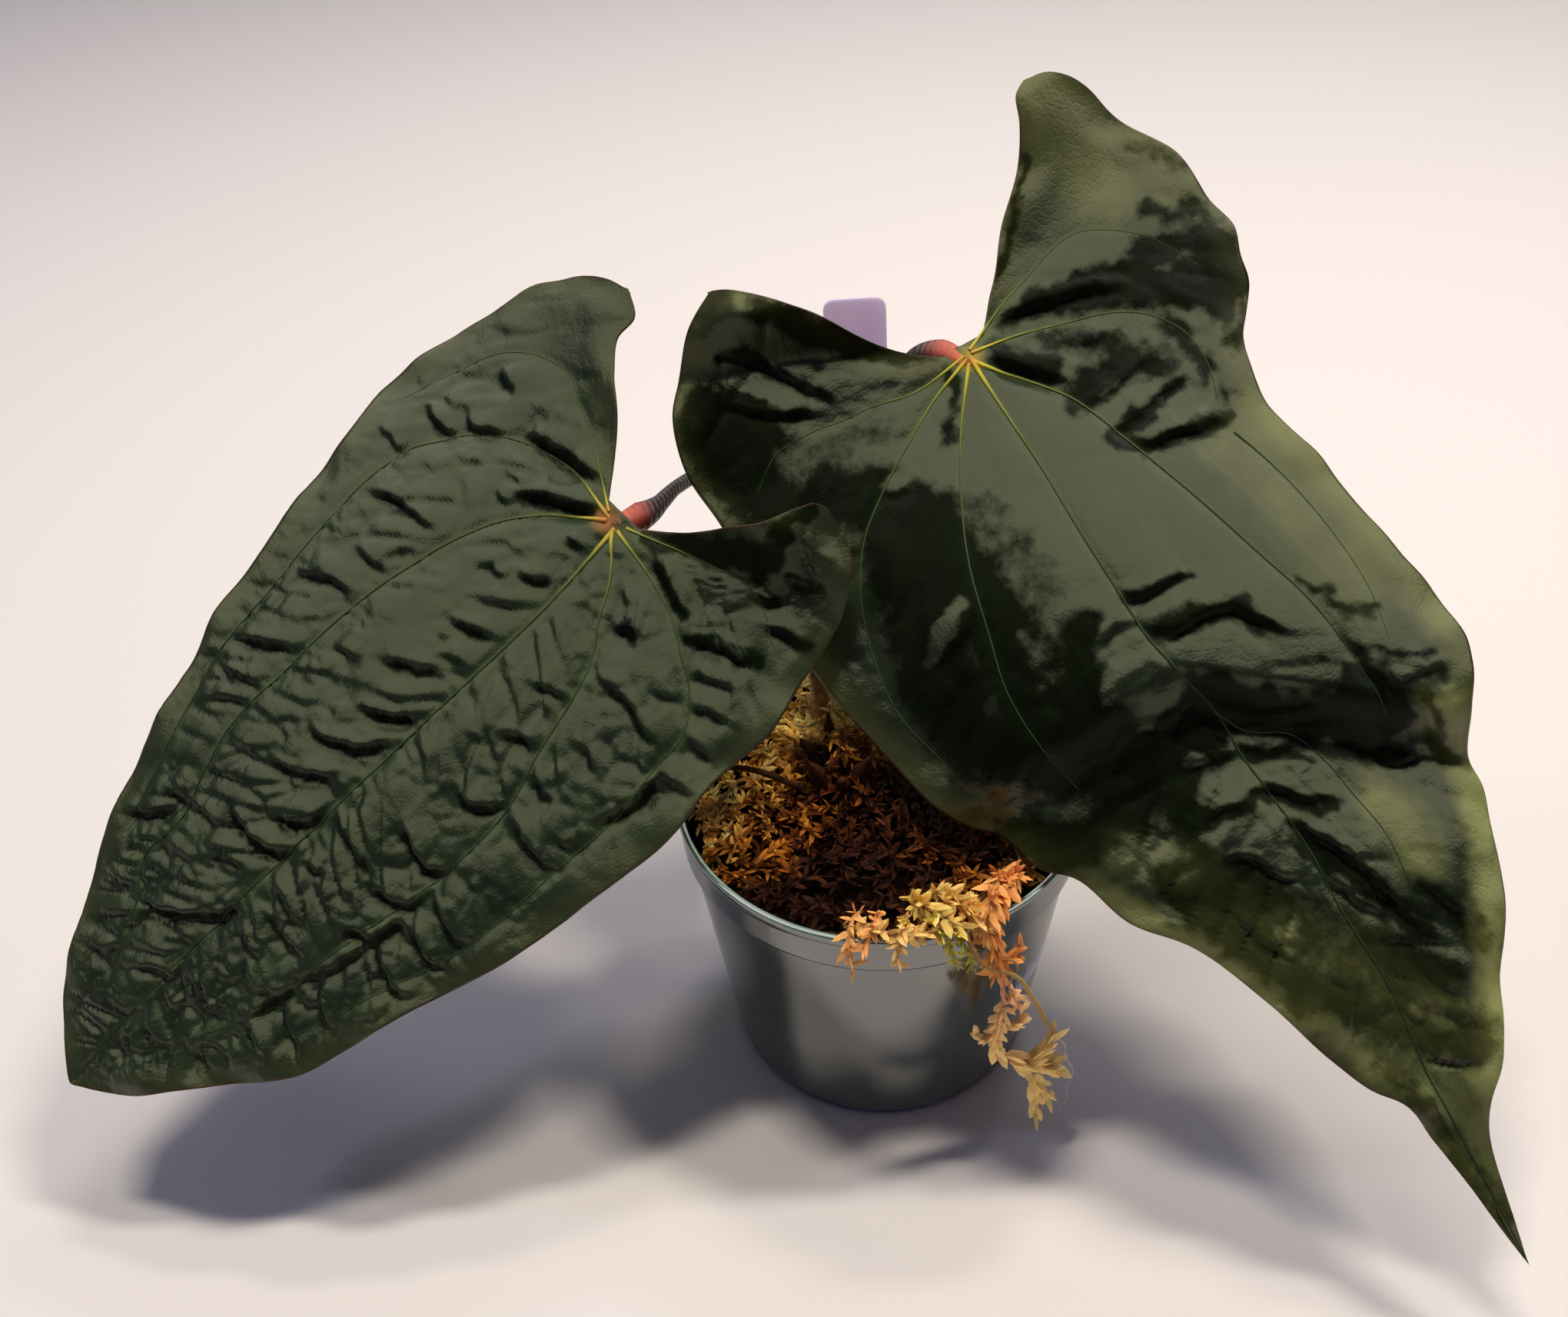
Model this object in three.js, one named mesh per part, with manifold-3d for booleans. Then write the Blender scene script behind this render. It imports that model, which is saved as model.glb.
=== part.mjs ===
// Potted anthurium: two quilted heart-shaped leaves on arching stalks in a small moss-filled pot.
// Millimetres, +Z up, origin at the centre of the pot base, the plant's open side towards -Y.
import * as THREE from 'three';
import { mergeVertices } from 'three/addons/utils/BufferGeometryUtils.js';
import Module from 'manifold-3d';

const wasm = await Module();
wasm.setup();

// Pot
const RIM_RADIUS = 51;
const BASE_RADIUS = 40.8;
const POT_HEIGHT = 84;
const BAND_BOTTOM = 73;
const WALL_AT_BAND = 48.6;
const WALL = 1.3;
const FLOOR = 2.0;
const DRAIN_RADIUS = 4.5;
const DRAIN_RING = 27;
const DRAIN_HOLES = 6;
const FIT = 0.35;

// Blades
const BLADE = 0.78;
const LEFT_JOINT = [-62.5, 31.3, 145.4];
const LEFT_TIP = [-200.1, -47.0, 44.6];
const LEFT_ROLL = 28;
const RIGHT_JOINT = [26.7, 51.6, 171.6];
const RIGHT_TIP = [131.7, -101.3, 25.7];
const RIGHT_ROLL = -30;
const ROWS = 46;
const LOBE_ROWS = 9;
const COLUMNS = 9;

// Moss
const MOSS_TOP = 84;
const STRANDS = 62;

// Tag
const TAG_WIDTH = 15.5;
const TAG_THICK = 1.0;
const TAG_LENGTH = 124;
const TAG_FOOT = [-1.5, 36, 56];
const TAG_LEAN = 15;

const clamp = (x, a, b) => Math.min(b, Math.max(a, x));
const mix = (a, b, t) => a + (b - a) * t;
const ramp = (a, b, x) => {
  const t = clamp((x - a) / (b - a), 0, 1);
  return t * t * (3 - 2 * t);
};

// Value of a curve given as [position, value] points
function along(points, x) {
  let i = 1;
  while (i < points.length - 1 && points[i][0] < x) i += 1;
  const [x0, y0] = points[i - 1];
  const [x1, y1] = points[i];
  return x1 === x0 ? y1 : mix(y0, y1, clamp((x - x0) / (x1 - x0), 0, 1));
}

// Repeatable scatter for the moss
let seed = 7;
const chance = () => {
  seed = (seed * 16807) % 2147483647;
  return seed / 2147483647;
};

function solidOf(geometry) {
  const vertProperties = new Float32Array(geometry.attributes.position.array);
  const count = vertProperties.length / 3;
  const triVerts = geometry.index
    ? new Uint32Array(geometry.index.array)
    : Uint32Array.from({ length: count }, (_, i) => i);
  const mesh = new wasm.Mesh({ numProp: 3, vertProperties, triVerts });
  mesh.merge();
  return new wasm.Manifold(mesh);
}

function geometryOf(solid) {
  const mesh = solid.getMesh();
  const g = new THREE.BufferGeometry();
  g.setAttribute('position', new THREE.BufferAttribute(new Float32Array(mesh.vertProperties), 3));
  g.setIndex(Array.from(mesh.triVerts));
  return g;
}

// Closed tube through points, each point with its own radius
function taper(points, radii, sides) {
  const curve = new THREE.CatmullRomCurve3(points.map((p) => new THREE.Vector3(...p)));
  const steps = radii.length - 1;
  const frames = curve.computeFrenetFrames(steps, false);
  const position = [];
  const index = [];
  for (let i = 0; i <= steps; i += 1) {
    const c = curve.getPoint(i / steps);
    for (let j = 0; j < sides; j += 1) {
      const a = (2 * Math.PI * j) / sides;
      const p = c.clone();
      p.addScaledVector(frames.normals[i], radii[i] * Math.cos(a));
      p.addScaledVector(frames.binormals[i], radii[i] * Math.sin(a));
      position.push(p.x, p.y, p.z);
    }
  }
  for (let i = 0; i < steps; i += 1) {
    for (let j = 0; j < sides; j += 1) {
      const a = i * sides + j;
      const b = i * sides + ((j + 1) % sides);
      index.push(a, b, b + sides, a, b + sides, a + sides);
    }
  }
  for (let j = 1; j < sides - 1; j += 1) {
    const end = steps * sides;
    index.push(0, j + 1, j, end, end + j, end + j + 1);
  }
  const g = new THREE.BufferGeometry();
  g.setAttribute('position', new THREE.Float32BufferAttribute(position, 3));
  g.setIndex(index);
  return g;
}

// Turned solid: a profile that starts and ends on the axis, or a ring profile that closes on itself
function lathe(profile, segments) {
  const points = profile.map(([r, z]) => new THREE.Vector2(r, z));
  if (profile[0][0] > 0) points.push(points[0].clone());
  const turned = new THREE.LatheGeometry(points, segments).rotateX(Math.PI / 2);
  const bare = new THREE.BufferGeometry();
  bare.setAttribute('position', turned.attributes.position);
  bare.setIndex(turned.index);
  const merged = mergeVertices(bare, 1e-3);
  const index = [];
  for (let i = 0; i < merged.index.count; i += 3) {
    const [a, b, c] = [0, 1, 2].map((j) => merged.index.getX(i + j));
    if (a !== b && b !== c && c !== a) index.push(a, b, c);
  }
  merged.setIndex(index);
  return merged;
}

// Local axes of a blade: along the midrib, across it, and out of its upper face
function bladeAxes(joint, tip, roll) {
  const origin = new THREE.Vector3(...joint);
  const span = new THREE.Vector3(...tip).sub(origin);
  const length = span.length();
  const x = span.normalize();
  const up = new THREE.Vector3(0, 0, 1).addScaledVector(x, -x.z).normalize();
  const side = new THREE.Vector3().crossVectors(up, x);
  const a = THREE.MathUtils.degToRad(roll);
  const n = up.multiplyScalar(Math.cos(a)).addScaledVector(side, Math.sin(a));
  const y = new THREE.Vector3().crossVectors(n, x);
  return { origin, length, x, y, n };
}

// Left blade, in its own axes: [along midrib, across]
const LEFT = {
  axes: bladeAxes(LEFT_JOINT, LEFT_TIP, LEFT_ROLL),
  midrib: [[-4, 2.5], [25, 5.5], [58, 5.5], [91, 4.5], [122, 3], [165, 0.5], [188, 0]],
  minus: {
    inner: [[-44, -36], [-40, -30], [-34, -30], [-28, -25], [-21, -17], [-10, -8], [-4, -3]],
    outer: [[-44, -37], [-43, -43], [-40, -50], [-35, -56], [-30, -61], [-21, -64.5], [-7, -70], [9, -73],
      [18, -73.5], [24, -71], [45, -66], [67, -60], [81, -57], [97, -51.5], [118, -45], [132, -40],
      [147, -33], [161, -25], [170, -20], [178, -14], [182.5, -7.5], [188, 0]],
  },
  plus: {
    inner: [[-37, 40], [-36, 38], [-33, 36], [-24, 32.5], [-18, 26], [-10, 16.5], [-4, 8]],
    outer: [[-37, 41], [-35, 48], [-31, 53], [-24, 57], [-16, 59], [-3, 61], [7, 64], [26, 63], [38, 65],
      [54, 64], [74, 61], [86, 59], [107, 52], [129, 45.5], [138, 43], [157, 29.5], [166, 22.5],
      [177, 14], [183, 7], [188, 0]],
  },
  height(u, v) {
    const fold = -2 - 0.28 * v - u;
    const lift = -2 + 0.35 * v - u;
    return 10 * Math.sin(Math.PI * clamp(u / 188, 0, 1)) - 0.0018 * v * v
      + 13 * ramp(0, 15, fold) * ramp(4, 14, v) * (1 - 0.35 * ramp(34, 46, v))
      + 5 * ramp(0, 16, lift) * ramp(4, 14, -v);
  },
  pitch: 8.2,
  quilt: 1.9,
  edgeWave: 1.2,
};

// Right blade, longer and buckled across its middle
const RIGHT = {
  axes: bladeAxes(RIGHT_JOINT, RIGHT_TIP, RIGHT_ROLL),
  midrib: [[-4, 0], [33, -0.5], [66, -2], [80, -1.5], [89, 0.5], [101, 4], [123, 4.5], [148, 4.3], [171, 4.4],
    [205, 1.5], [236, 0]],
  minus: {
    inner: [[-45, -45], [-43, -42], [-39, -37.5], [-28, -28.5], [-17, -19.5], [-7, -9], [-4, -5]],
    outer: [[-45, -46], [-44, -50], [-36, -61.5], [-28, -68.5], [-15, -73], [2, -72], [35, -71.5],
      [61, -67.5], [79, -63.5], [87, -61.5], [95, -57], [100, -52], [112, -47], [116, -42.5],
      [131, -36.5], [141, -28], [159, -20], [178, -14], [187, -10], [192, -6], [203, -4], [218, -2.2],
      [236, 0]],
  },
  plus: {
    inner: [[-49, 43], [-47, 40], [-41, 37.5], [-35, 34], [-23, 22], [-14, 15], [-4, 3]],
    outer: [[-49, 44], [-48.5, 48.5], [-45.5, 53], [-41, 56.5], [-35, 59], [-26, 64.5], [-20, 68.5],
      [-5.5, 70], [2.5, 71], [11, 68], [17, 66.5], [23, 62], [28.5, 57], [36, 54], [43, 52.5], [51, 53],
      [61, 54.5], [80, 55.5], [90, 56], [99, 57.5], [106, 57.5], [112, 57], [117, 55], [127, 49], [135, 46],
      [143.5, 45], [151, 42], [159.5, 38.5], [177, 27.5], [195, 16.5], [201, 10.5], [206, 7.5], [215, 4.5],
      [236, 0]],
  },
  height(u, v) {
    const before = 102 + 0.82 * Math.max(v, 0) - u;
    const buckle = ramp(112, 28, before) * ramp(0, 23, before);
    const lobe = -12 - 0.1 * v - u;
    const fold = -4 + 0.45 * v - u;
    return 9 * Math.sin(Math.PI * clamp(u / 236, 0, 1)) - 0.0016 * v * v
      + 11 * ramp(-75, -25, v) * (1 - 0.15 * ramp(40, 62, v)) * buckle
      + 3.5 * ramp(0, -14, before) * ramp(-60, -20, v)
      + 9 * ramp(0, 18, lobe) * ramp(6, 20, v)
      + 12 * ramp(0, 14, fold) * ramp(4, 14, -v) * (1 - 0.4 * ramp(40, 52, -v));
  },
  pitch: 9.5,
  quilt: 1.7,
  edgeWave: 1.6,
};

// Where the two inner side veins run, as a share of the way from midrib to edge
const nearVein = (u) => mix(0.3, 0.54, ramp(10, 70, u));
const farVein = (u) => mix(0.62, 0.84, ramp(0, 60, u));

// Share of the way across for each mesh column, so that edges follow the side veins
function columnShare(k, u) {
  const a = nearVein(u);
  const b = farVein(u);
  const stops = [0, 0.085, mix(0.085, a, 0.36), mix(0.085, a, 0.7), a, mix(a, b, 0.36), mix(a, b, 0.7), b,
    mix(b, 1, 0.55), 1];
  return stops[k];
}

// Raised pillows between the side veins, with cross grooves
function pillow(leaf, u, v, share) {
  const a = nearVein(u);
  const b = farVein(u);
  let band = 2;
  if (share < a) band = 0;
  else if (share < b) band = 1;
  const from = [0, a, b][band];
  const to = [a, b, 1][band];
  const across = Math.sin(Math.PI * clamp((share - from) / (to - from), 0, 1));
  const sway = 0.5 * Math.sin(0.13 * v + 1.7 * band) + (v < 0 ? 0.37 : 0);
  const groove = Math.abs(Math.sin(Math.PI * (u / leaf.pitch + 0.31 * band + sway)));
  const size = leaf.quilt * [1, 0.9, 0.45][band];
  const half = along(v < 0 ? leaf.minus.outer : leaf.plus.outer, u);
  return ramp(4, 24, Math.abs(half)) * size * across * (0.35 + 0.65 * groove);
}

function bladeSolid(leaf, grow) {
  const { origin, length, x, y, n } = leaf.axes;
  const top = [];
  const bottom = [];
  const add = (u, v, share) => {
    const wave = leaf.edgeWave * ramp(0.7, 1, share) * Math.sin(u / 4.3 + (v < 0 ? 1.1 : 0));
    const inside = u > length - 12 ? 0 : wave;
    const h = leaf.height(u, v) + pillow(leaf, u, v, share) + inside;
    const du = leaf.height(u + 1, v) - leaf.height(u - 1, v);
    const dv = leaf.height(u, v + 1) - leaf.height(u, v - 1);
    const thick = (BLADE + 2 * grow) * Math.min(2.2, Math.sqrt(1.12 + 0.25 * (du * du + dv * dv)));
    const rib = share === 0 ? 1.0 * ramp(length, 60, u) : 0;
    const at = (z) => origin.clone().addScaledVector(x, u).addScaledVector(y, v).addScaledVector(n, z);
    top.push(at(h + grow));
    bottom.push(at(h + grow - thick - rib));
    return top.length - 1;
  };
  const faces = [];
  const quad = (a, b, c, d, flip) => {
    if (flip) faces.push([a, b, c], [a, c, d]);
    else faces.push([a, b, d], [b, c, d]);
  };
  const first = -4;
  const rows = [];
  for (let i = 0; i < ROWS; i += 1) {
    const u = mix(first, length, (i / ROWS) * (1.06 - 0.06 * (i / ROWS)));
    const mid = along(leaf.midrib, u);
    const row = [];
    for (let k = -COLUMNS; k <= COLUMNS; k += 1) {
      const side = k < 0 ? leaf.minus : leaf.plus;
      const share = columnShare(Math.abs(k), u);
      row.push(add(u, mix(mid, along(side.outer, u), share), share));
    }
    rows.push(row);
  }
  for (let i = 0; i < ROWS - 1; i += 1) {
    for (let k = 0; k < 2 * COLUMNS; k += 1) {
      quad(rows[i][k], rows[i + 1][k], rows[i + 1][k + 1], rows[i][k + 1], k < COLUMNS);
    }
  }
  const tip = add(length, 0, 1);
  for (let k = 0; k < 2 * COLUMNS; k += 1) {
    faces.push([rows[ROWS - 1][k], tip, rows[ROWS - 1][k + 1]]);
  }
  // Lobes behind the joint, from the sinus row back to the lobe end
  for (const sign of [-1, 1]) {
    const side = sign < 0 ? leaf.minus : leaf.plus;
    const end = side.inner[0][0];
    let last = [];
    for (let k = 1; k <= COLUMNS; k += 1) last.push(rows[0][COLUMNS + sign * k]);
    for (let i = 1; i < LOBE_ROWS; i += 1) {
      const t = i / LOBE_ROWS;
      const u = mix(first, end, t * (1.75 - 0.75 * t));
      const row = [];
      for (let k = 1; k <= COLUMNS; k += 1) {
        const share = columnShare(k, u);
        const inward = (share - 0.085) / 0.915;
        row.push(add(u, mix(along(side.inner, u), along(side.outer, u), inward), share));
      }
      for (let k = 0; k < COLUMNS - 1; k += 1) {
        if (sign > 0) quad(row[k], last[k], last[k + 1], row[k + 1], false);
        else quad(row[k + 1], last[k + 1], last[k], row[k], true);
      }
      last = row;
    }
    const point = add(end, 0.5 * (side.inner[0][1] + side.outer[0][1]), 1);
    for (let k = 0; k < COLUMNS - 1; k += 1) {
      if (sign > 0) faces.push([point, last[k], last[k + 1]]);
      else faces.push([point, last[k + 1], last[k]]);
    }
  }
  const count = top.length;
  const index = [];
  const open = new Map();
  for (const [a, b, c] of faces) {
    index.push(a, b, c, a + count, c + count, b + count);
    for (const [p, q] of [[a, b], [b, c], [c, a]]) {
      if (open.has(`${q},${p}`)) open.delete(`${q},${p}`);
      else open.set(`${p},${q}`, [p, q]);
    }
  }
  for (const [p, q] of open.values()) {
    index.push(q, p, p + count, q, p + count, q + count);
  }
  const g = new THREE.BufferGeometry();
  const flat = [...top, ...bottom].flatMap((p) => [p.x, p.y, p.z]);
  g.setAttribute('position', new THREE.Float32BufferAttribute(flat, 3));
  g.setIndex(index);
  return solidOf(g);
}

const parts = [];
function put(name, solid, color) {
  const material = new THREE.MeshStandardMaterial({ color, roughness: 0.7 });
  const mesh = new THREE.Mesh(geometryOf(solid), material);
  mesh.name = name;
  parts.push(mesh);
}

// Pot: thin wall, stepped band, rounded lip, flat floor with a ring of drain holes
const potProfile = (extra) => [
  [0, -extra], [BASE_RADIUS - 1.5 + extra, -extra], [BASE_RADIUS + extra, 1.5],
  [WALL_AT_BAND + extra, BAND_BOTTOM - 1], [RIM_RADIUS - 0.6 + extra, BAND_BOTTOM - extra],
  [RIM_RADIUS + extra, POT_HEIGHT - 1.2], [RIM_RADIUS - 0.7, POT_HEIGHT + extra],
  [RIM_RADIUS - 1.4, POT_HEIGHT + extra], [RIM_RADIUS - WALL - 0.6 - extra, POT_HEIGHT - 1.2],
  [WALL_AT_BAND - 0.4 - extra, BAND_BOTTOM + 1.5],
  [WALL_AT_BAND - WALL - extra, BAND_BOTTOM - 1], [BASE_RADIUS - WALL - extra, FLOOR + extra],
  [0, FLOOR + extra],
];
let pot = solidOf(lathe(potProfile(0), 44));
for (let i = 0; i < DRAIN_HOLES; i += 1) {
  const a = (2 * Math.PI * (i + 0.5)) / DRAIN_HOLES;
  const hole = new THREE.CylinderGeometry(DRAIN_RADIUS, DRAIN_RADIUS, 4 * FLOOR, 16).rotateX(Math.PI / 2);
  hole.translate(DRAIN_RING * Math.cos(a), DRAIN_RING * Math.sin(a), FLOOR / 2);
  pot = pot.subtract(solidOf(hole));
}
put('pot', pot, '#2f4a40');

// Label: thin curved patch on the wall, to the right of the front
const wallAt = (z) => mix(BASE_RADIUS, WALL_AT_BAND, (z - 1.5) / (BAND_BOTTOM - 2.5));
const LABEL_LOW = 35;
const LABEL_HIGH = 56;
const LABEL_TURN = 66;
const LABEL_WIDTH = 36;
const labelShell = solidOf(lathe([
  [wallAt(LABEL_LOW) + 0.3, LABEL_LOW], [wallAt(LABEL_LOW) + 0.95, LABEL_LOW],
  [wallAt(LABEL_HIGH) + 0.95, LABEL_HIGH], [wallAt(LABEL_HIGH) + 0.3, LABEL_HIGH],
], 88));
const labelCut = new THREE.BoxGeometry(LABEL_WIDTH, 40, 60);
labelCut.translate(0, -50, 60);
labelCut.rotateZ(THREE.MathUtils.degToRad(LABEL_TURN));
put('pot_label', labelShell.intersect(solidOf(labelCut)), '#b9b2d8');

// Stalks, each with its swollen joint under the blade
const LEFT_STALK = [[-11, 13, 72], [-12, 15, 84], [-15, 30, 104], [-27, 55, 124], [-40, 60, 138],
  [-46, 49, 142.5], [-52.5, 37.5, 143], [-60, 31.5, 143]];
const LEFT_RADII = [2.6, 2.6, 2.5, 2.4, 2.3, 2.3, 2.2, 2.2, 2.2, 2.1, 2.1, 2.1, 2.1, 2.2, 2.9, 3.6, 3.7, 3.0, 2.2];
const RIGHT_STALK = [[0, 13, 72], [0.5, 15, 84], [2, 30, 104], [5, 48, 132], [10, 59, 158],
  [15.5, 59, 169], [21, 56, 170.5], [25.5, 52.3, 169.5]];
const RIGHT_RADII = [2.8, 2.8, 2.7, 2.6, 2.5, 2.4, 2.4, 2.3, 2.3, 2.2, 2.2, 2.2, 2.3, 2.4, 3.0, 3.7, 3.8, 3.1, 2.3];
const wider = (radii, by) => radii.map((r) => r + by);

const leftBlade = bladeSolid(LEFT, 0);
const rightBlade = bladeSolid(RIGHT, 0);
const leftStalk = solidOf(taper(LEFT_STALK, LEFT_RADII, 10)).subtract(bladeSolid(LEFT, FIT));
const rightStalk = solidOf(taper(RIGHT_STALK, RIGHT_RADII, 10)).subtract(bladeSolid(RIGHT, FIT));
const largest = (solid) => solid.decompose().sort((a, b) => b.volume() - a.volume())[0];
put('leaf_left', leftBlade, '#20301f');
put('leaf_right', rightBlade, '#27371f');
put('petiole_left', largest(leftStalk), '#4a3a2c');
put('petiole_right', largest(rightStalk), '#4a3a2c');

// Crown: short stub with pointed dry sheaths
const CROWN = [[-10, -1, 76], [-10.5, -2, 86], [-11.5, -4, 96]];
let crown = solidOf(taper(CROWN, [5.5, 6.0, 5.2, 3.4], 9));
for (const [x, y, tx, ty, tz] of [[-13, -4, -18, -9, 101], [-7, -4, -3, -8, 99], [-11, 1, -12, 5, 103]]) {
  crown = crown.add(solidOf(taper([[x, y, 84], [(x + tx) / 2, (y + ty) / 2, 93], [tx, ty, tz]],
    [2.4, 2.0, 0.8], 6)));
}
put('crown', crown, '#2a1d12');

// Tag: flat strip with clipped top corners and a pointed foot
const strip = (extra) => {
  const w = TAG_WIDTH / 2 + extra;
  const top = TAG_LENGTH;
  const outline = new THREE.Shape();
  outline.moveTo(0, -extra);
  outline.lineTo(w, 12);
  outline.lineTo(w, top - 3);
  outline.lineTo(w - 2.5, top);
  outline.lineTo(-w + 2.5, top);
  outline.lineTo(-w, top - 3);
  outline.lineTo(-w, 12);
  const depth = TAG_THICK + 2 * extra;
  const g = new THREE.ExtrudeGeometry(outline, { depth, bevelEnabled: false });
  g.translate(0, 0, -depth / 2).rotateX(Math.PI / 2 - THREE.MathUtils.degToRad(TAG_LEAN));
  return solidOf(g.translate(...TAG_FOOT));
};
put('plant_tag', strip(0), '#a98fc4');

// Dry stalk lying across the moss, and the thin root that hangs over the rim
const DRY_STALK = [[-40, 1, 91], [-31, -3, 93], [-23.5, -7, 92.5], [-18, -9, 90]];
const dryStalk = solidOf(taper(DRY_STALK, [0.7, 0.8, 0.8, 0.9, 0.9], 6));
put('dead_stalk', dryStalk, '#24160e');
const ROOT = [[13, -42, 85], [14, -51, 87], [17, -54.5, 80.5], [25.5, -53.5, 73], [31, -50, 60],
  [36.5, -47, 44.5], [43, -42, 28]];
const rootRadii = [1.0, 1.0, 0.95, 0.9, 0.85, 0.8, 0.8, 0.75, 0.7];
put('trailing_root', solidOf(taper(ROOT, rootRadii, 6)), '#b98a3e');

// Moss: packed core with a rough mound, short bent strands rooted in it
const coreTop = (x, y) => MOSS_TOP + 5.5 * Math.cos(Math.PI * Math.min(1, Math.hypot(x, y + 2) / 50) * 0.5)
  + 1.6 * Math.sin(x / 4.1 + 0.8) * Math.cos(y / 4.7) - 3.2 * ramp(5, 45, x) - 1.5;
const CORE_RINGS = [[45.2, 79.5], [44.6, 81.8]];
const coreProfile = [[0, FLOOR + FIT], [BASE_RADIUS - WALL - FIT - 0.3, FLOOR + FIT],
  [WALL_AT_BAND - WALL - FIT - 0.3, BAND_BOTTOM - 1], ...CORE_RINGS, [38, 84], [30, 84], [22, 84],
  [14, 84], [7, 84], [0, 84]];
const coreGeometry = lathe(coreProfile, 26);
const place = coreGeometry.attributes.position;
for (let i = 0; i < place.count; i += 1) {
  if (place.getZ(i) > 83.9) place.setZ(i, coreTop(place.getX(i), place.getY(i)));
}
let moss = solidOf(coreGeometry);
const strands = [];
function strand(x, y, z, turn, rise, size) {
  const dx = Math.cos(turn) * size;
  const dy = Math.sin(turn) * size;
  const points = [[x, y, z - 4], [x + 0.35 * dx, y + 0.35 * dy, z + rise],
    [x + 0.8 * dx, y + 0.8 * dy, z + 0.8 * rise], [x + 1.15 * dx, y + 1.15 * dy, z - 0.4 * rise]];
  strands.push(solidOf(taper(points, [2.0, 2.4, 1.9, 0.8], 3)));
}
for (let i = 0; i < STRANDS; i += 1) {
  const r = 43 * Math.sqrt((i + 0.5) / STRANDS);
  const a = i * 2.39996;
  const x = r * Math.cos(a);
  const y = r * Math.sin(a) + 0.01;
  const inward = Math.atan2(-y, -x);
  const turn = r > 36 ? inward + 2.2 * (chance() - 0.5) : 6.28 * chance();
  strand(x, y, coreTop(x, y), turn, 2.2 + 2.6 * chance(), 6 + 5 * chance());
}
// Bright strands spilling over the front right rim, and the piece that hangs down the wall
for (const [x, y, tx, ty, tz] of [[-6, -38, -11, -52.5, 82], [-1, -38, -5, -53, 80], [4, -37, 1, -54, 79],
  [8, -37, 7, -53.5, 81], [10, -37, 11.5, -54.5, 75], [14, -36, 15.5, -53, 72], [18, -35, 20, -51, 79],
  [26, -31, 31, -45, 80]]) {
  const points = [[x, y, 81], [mix(x, tx, 0.5), mix(y, ty, 0.5) - 2, 88.5], [mix(x, tx, 0.85), ty + 0.5, 88],
    [tx, ty - 1, tz]];
  strands.push(solidOf(taper(points, [2.2, 2.4, 2.2, 0.8], 4)));
}
const HANGING = [[22, -36, 82], [21.5, -44, 89], [20, -52, 86], [22, -51.5, 74], [24.5, -49.5, 60],
  [24, -50, 48], [29, -48.5, 33], [35.5, -47.5, 18], [38, -48.5, 9]];
strands.push(solidOf(taper(HANGING, [2.2, 2.4, 2.5, 2.4, 1.8, 1.5, 1.9, 2.3, 2.6, 2.4, 1.0], 6)));
for (const [x, y, z, tx, ty, tz] of [[20.5, -50, 87, 12, -54, 89], [21, -51, 86, 29, -48, 91],
  [21, -52, 81, 15, -56, 76], [24, -50, 54, 20, -53, 58], [24, -50, 47, 16.5, -53, 44],
  [26, -49.5, 41, 32, -52, 48], [31, -48.5, 28, 38.5, -44, 34], [33, -48, 23, 40, -45.5, 25],
  [35, -47.5, 20, 41, -46.5, 13]]) {
  const points = [[x, y, z], [mix(x, tx, 0.6), mix(y, ty, 0.6), mix(z, tz, 0.5) + 1], [tx, ty, tz]];
  strands.push(solidOf(taper(points, [1.3, 1.7, 1.4, 0.7], 4)));
}
moss = wasm.Manifold.union([moss, ...strands]);
const potRoom = solidOf(lathe(potProfile(FIT), 44));
const holes = [
  taper(LEFT_STALK, wider(LEFT_RADII, FIT), 10),
  taper(RIGHT_STALK, wider(RIGHT_RADII, FIT), 10),
  taper(CROWN, [5.9, 6.5, 5.8, 4.2], 9),
  taper(DRY_STALK, [1.1, 1.2, 1.2, 1.3, 1.3], 6),
  taper(ROOT, wider(rootRadii, FIT), 6),
].map(solidOf);
const sheathRoom = crown.add(crown.translate([0, 0, 0.4])).add(crown.translate([0.4, 0, 0]))
  .add(crown.translate([-0.4, 0, 0])).add(crown.translate([0, 0.4, 0])).add(crown.translate([0, -0.4, 0]));
moss = moss.subtract(wasm.Manifold.union([potRoom, strip(FIT), sheathRoom, ...holes]));
put('sphagnum_moss', largest(moss.simplify(0.12)), '#b5803c');

const plant = new THREE.Group();
plant.name = 'potted_anthurium';
for (const mesh of parts) plant.add(mesh);
export default plant;
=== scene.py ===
"""Potted anthurium in a moss-filled nursery pot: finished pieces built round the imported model."""
import math
import random
from bisect import bisect_left
from functools import partial

import bmesh
import bpy
from mathutils import Matrix, Vector, kdtree, noise


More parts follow.
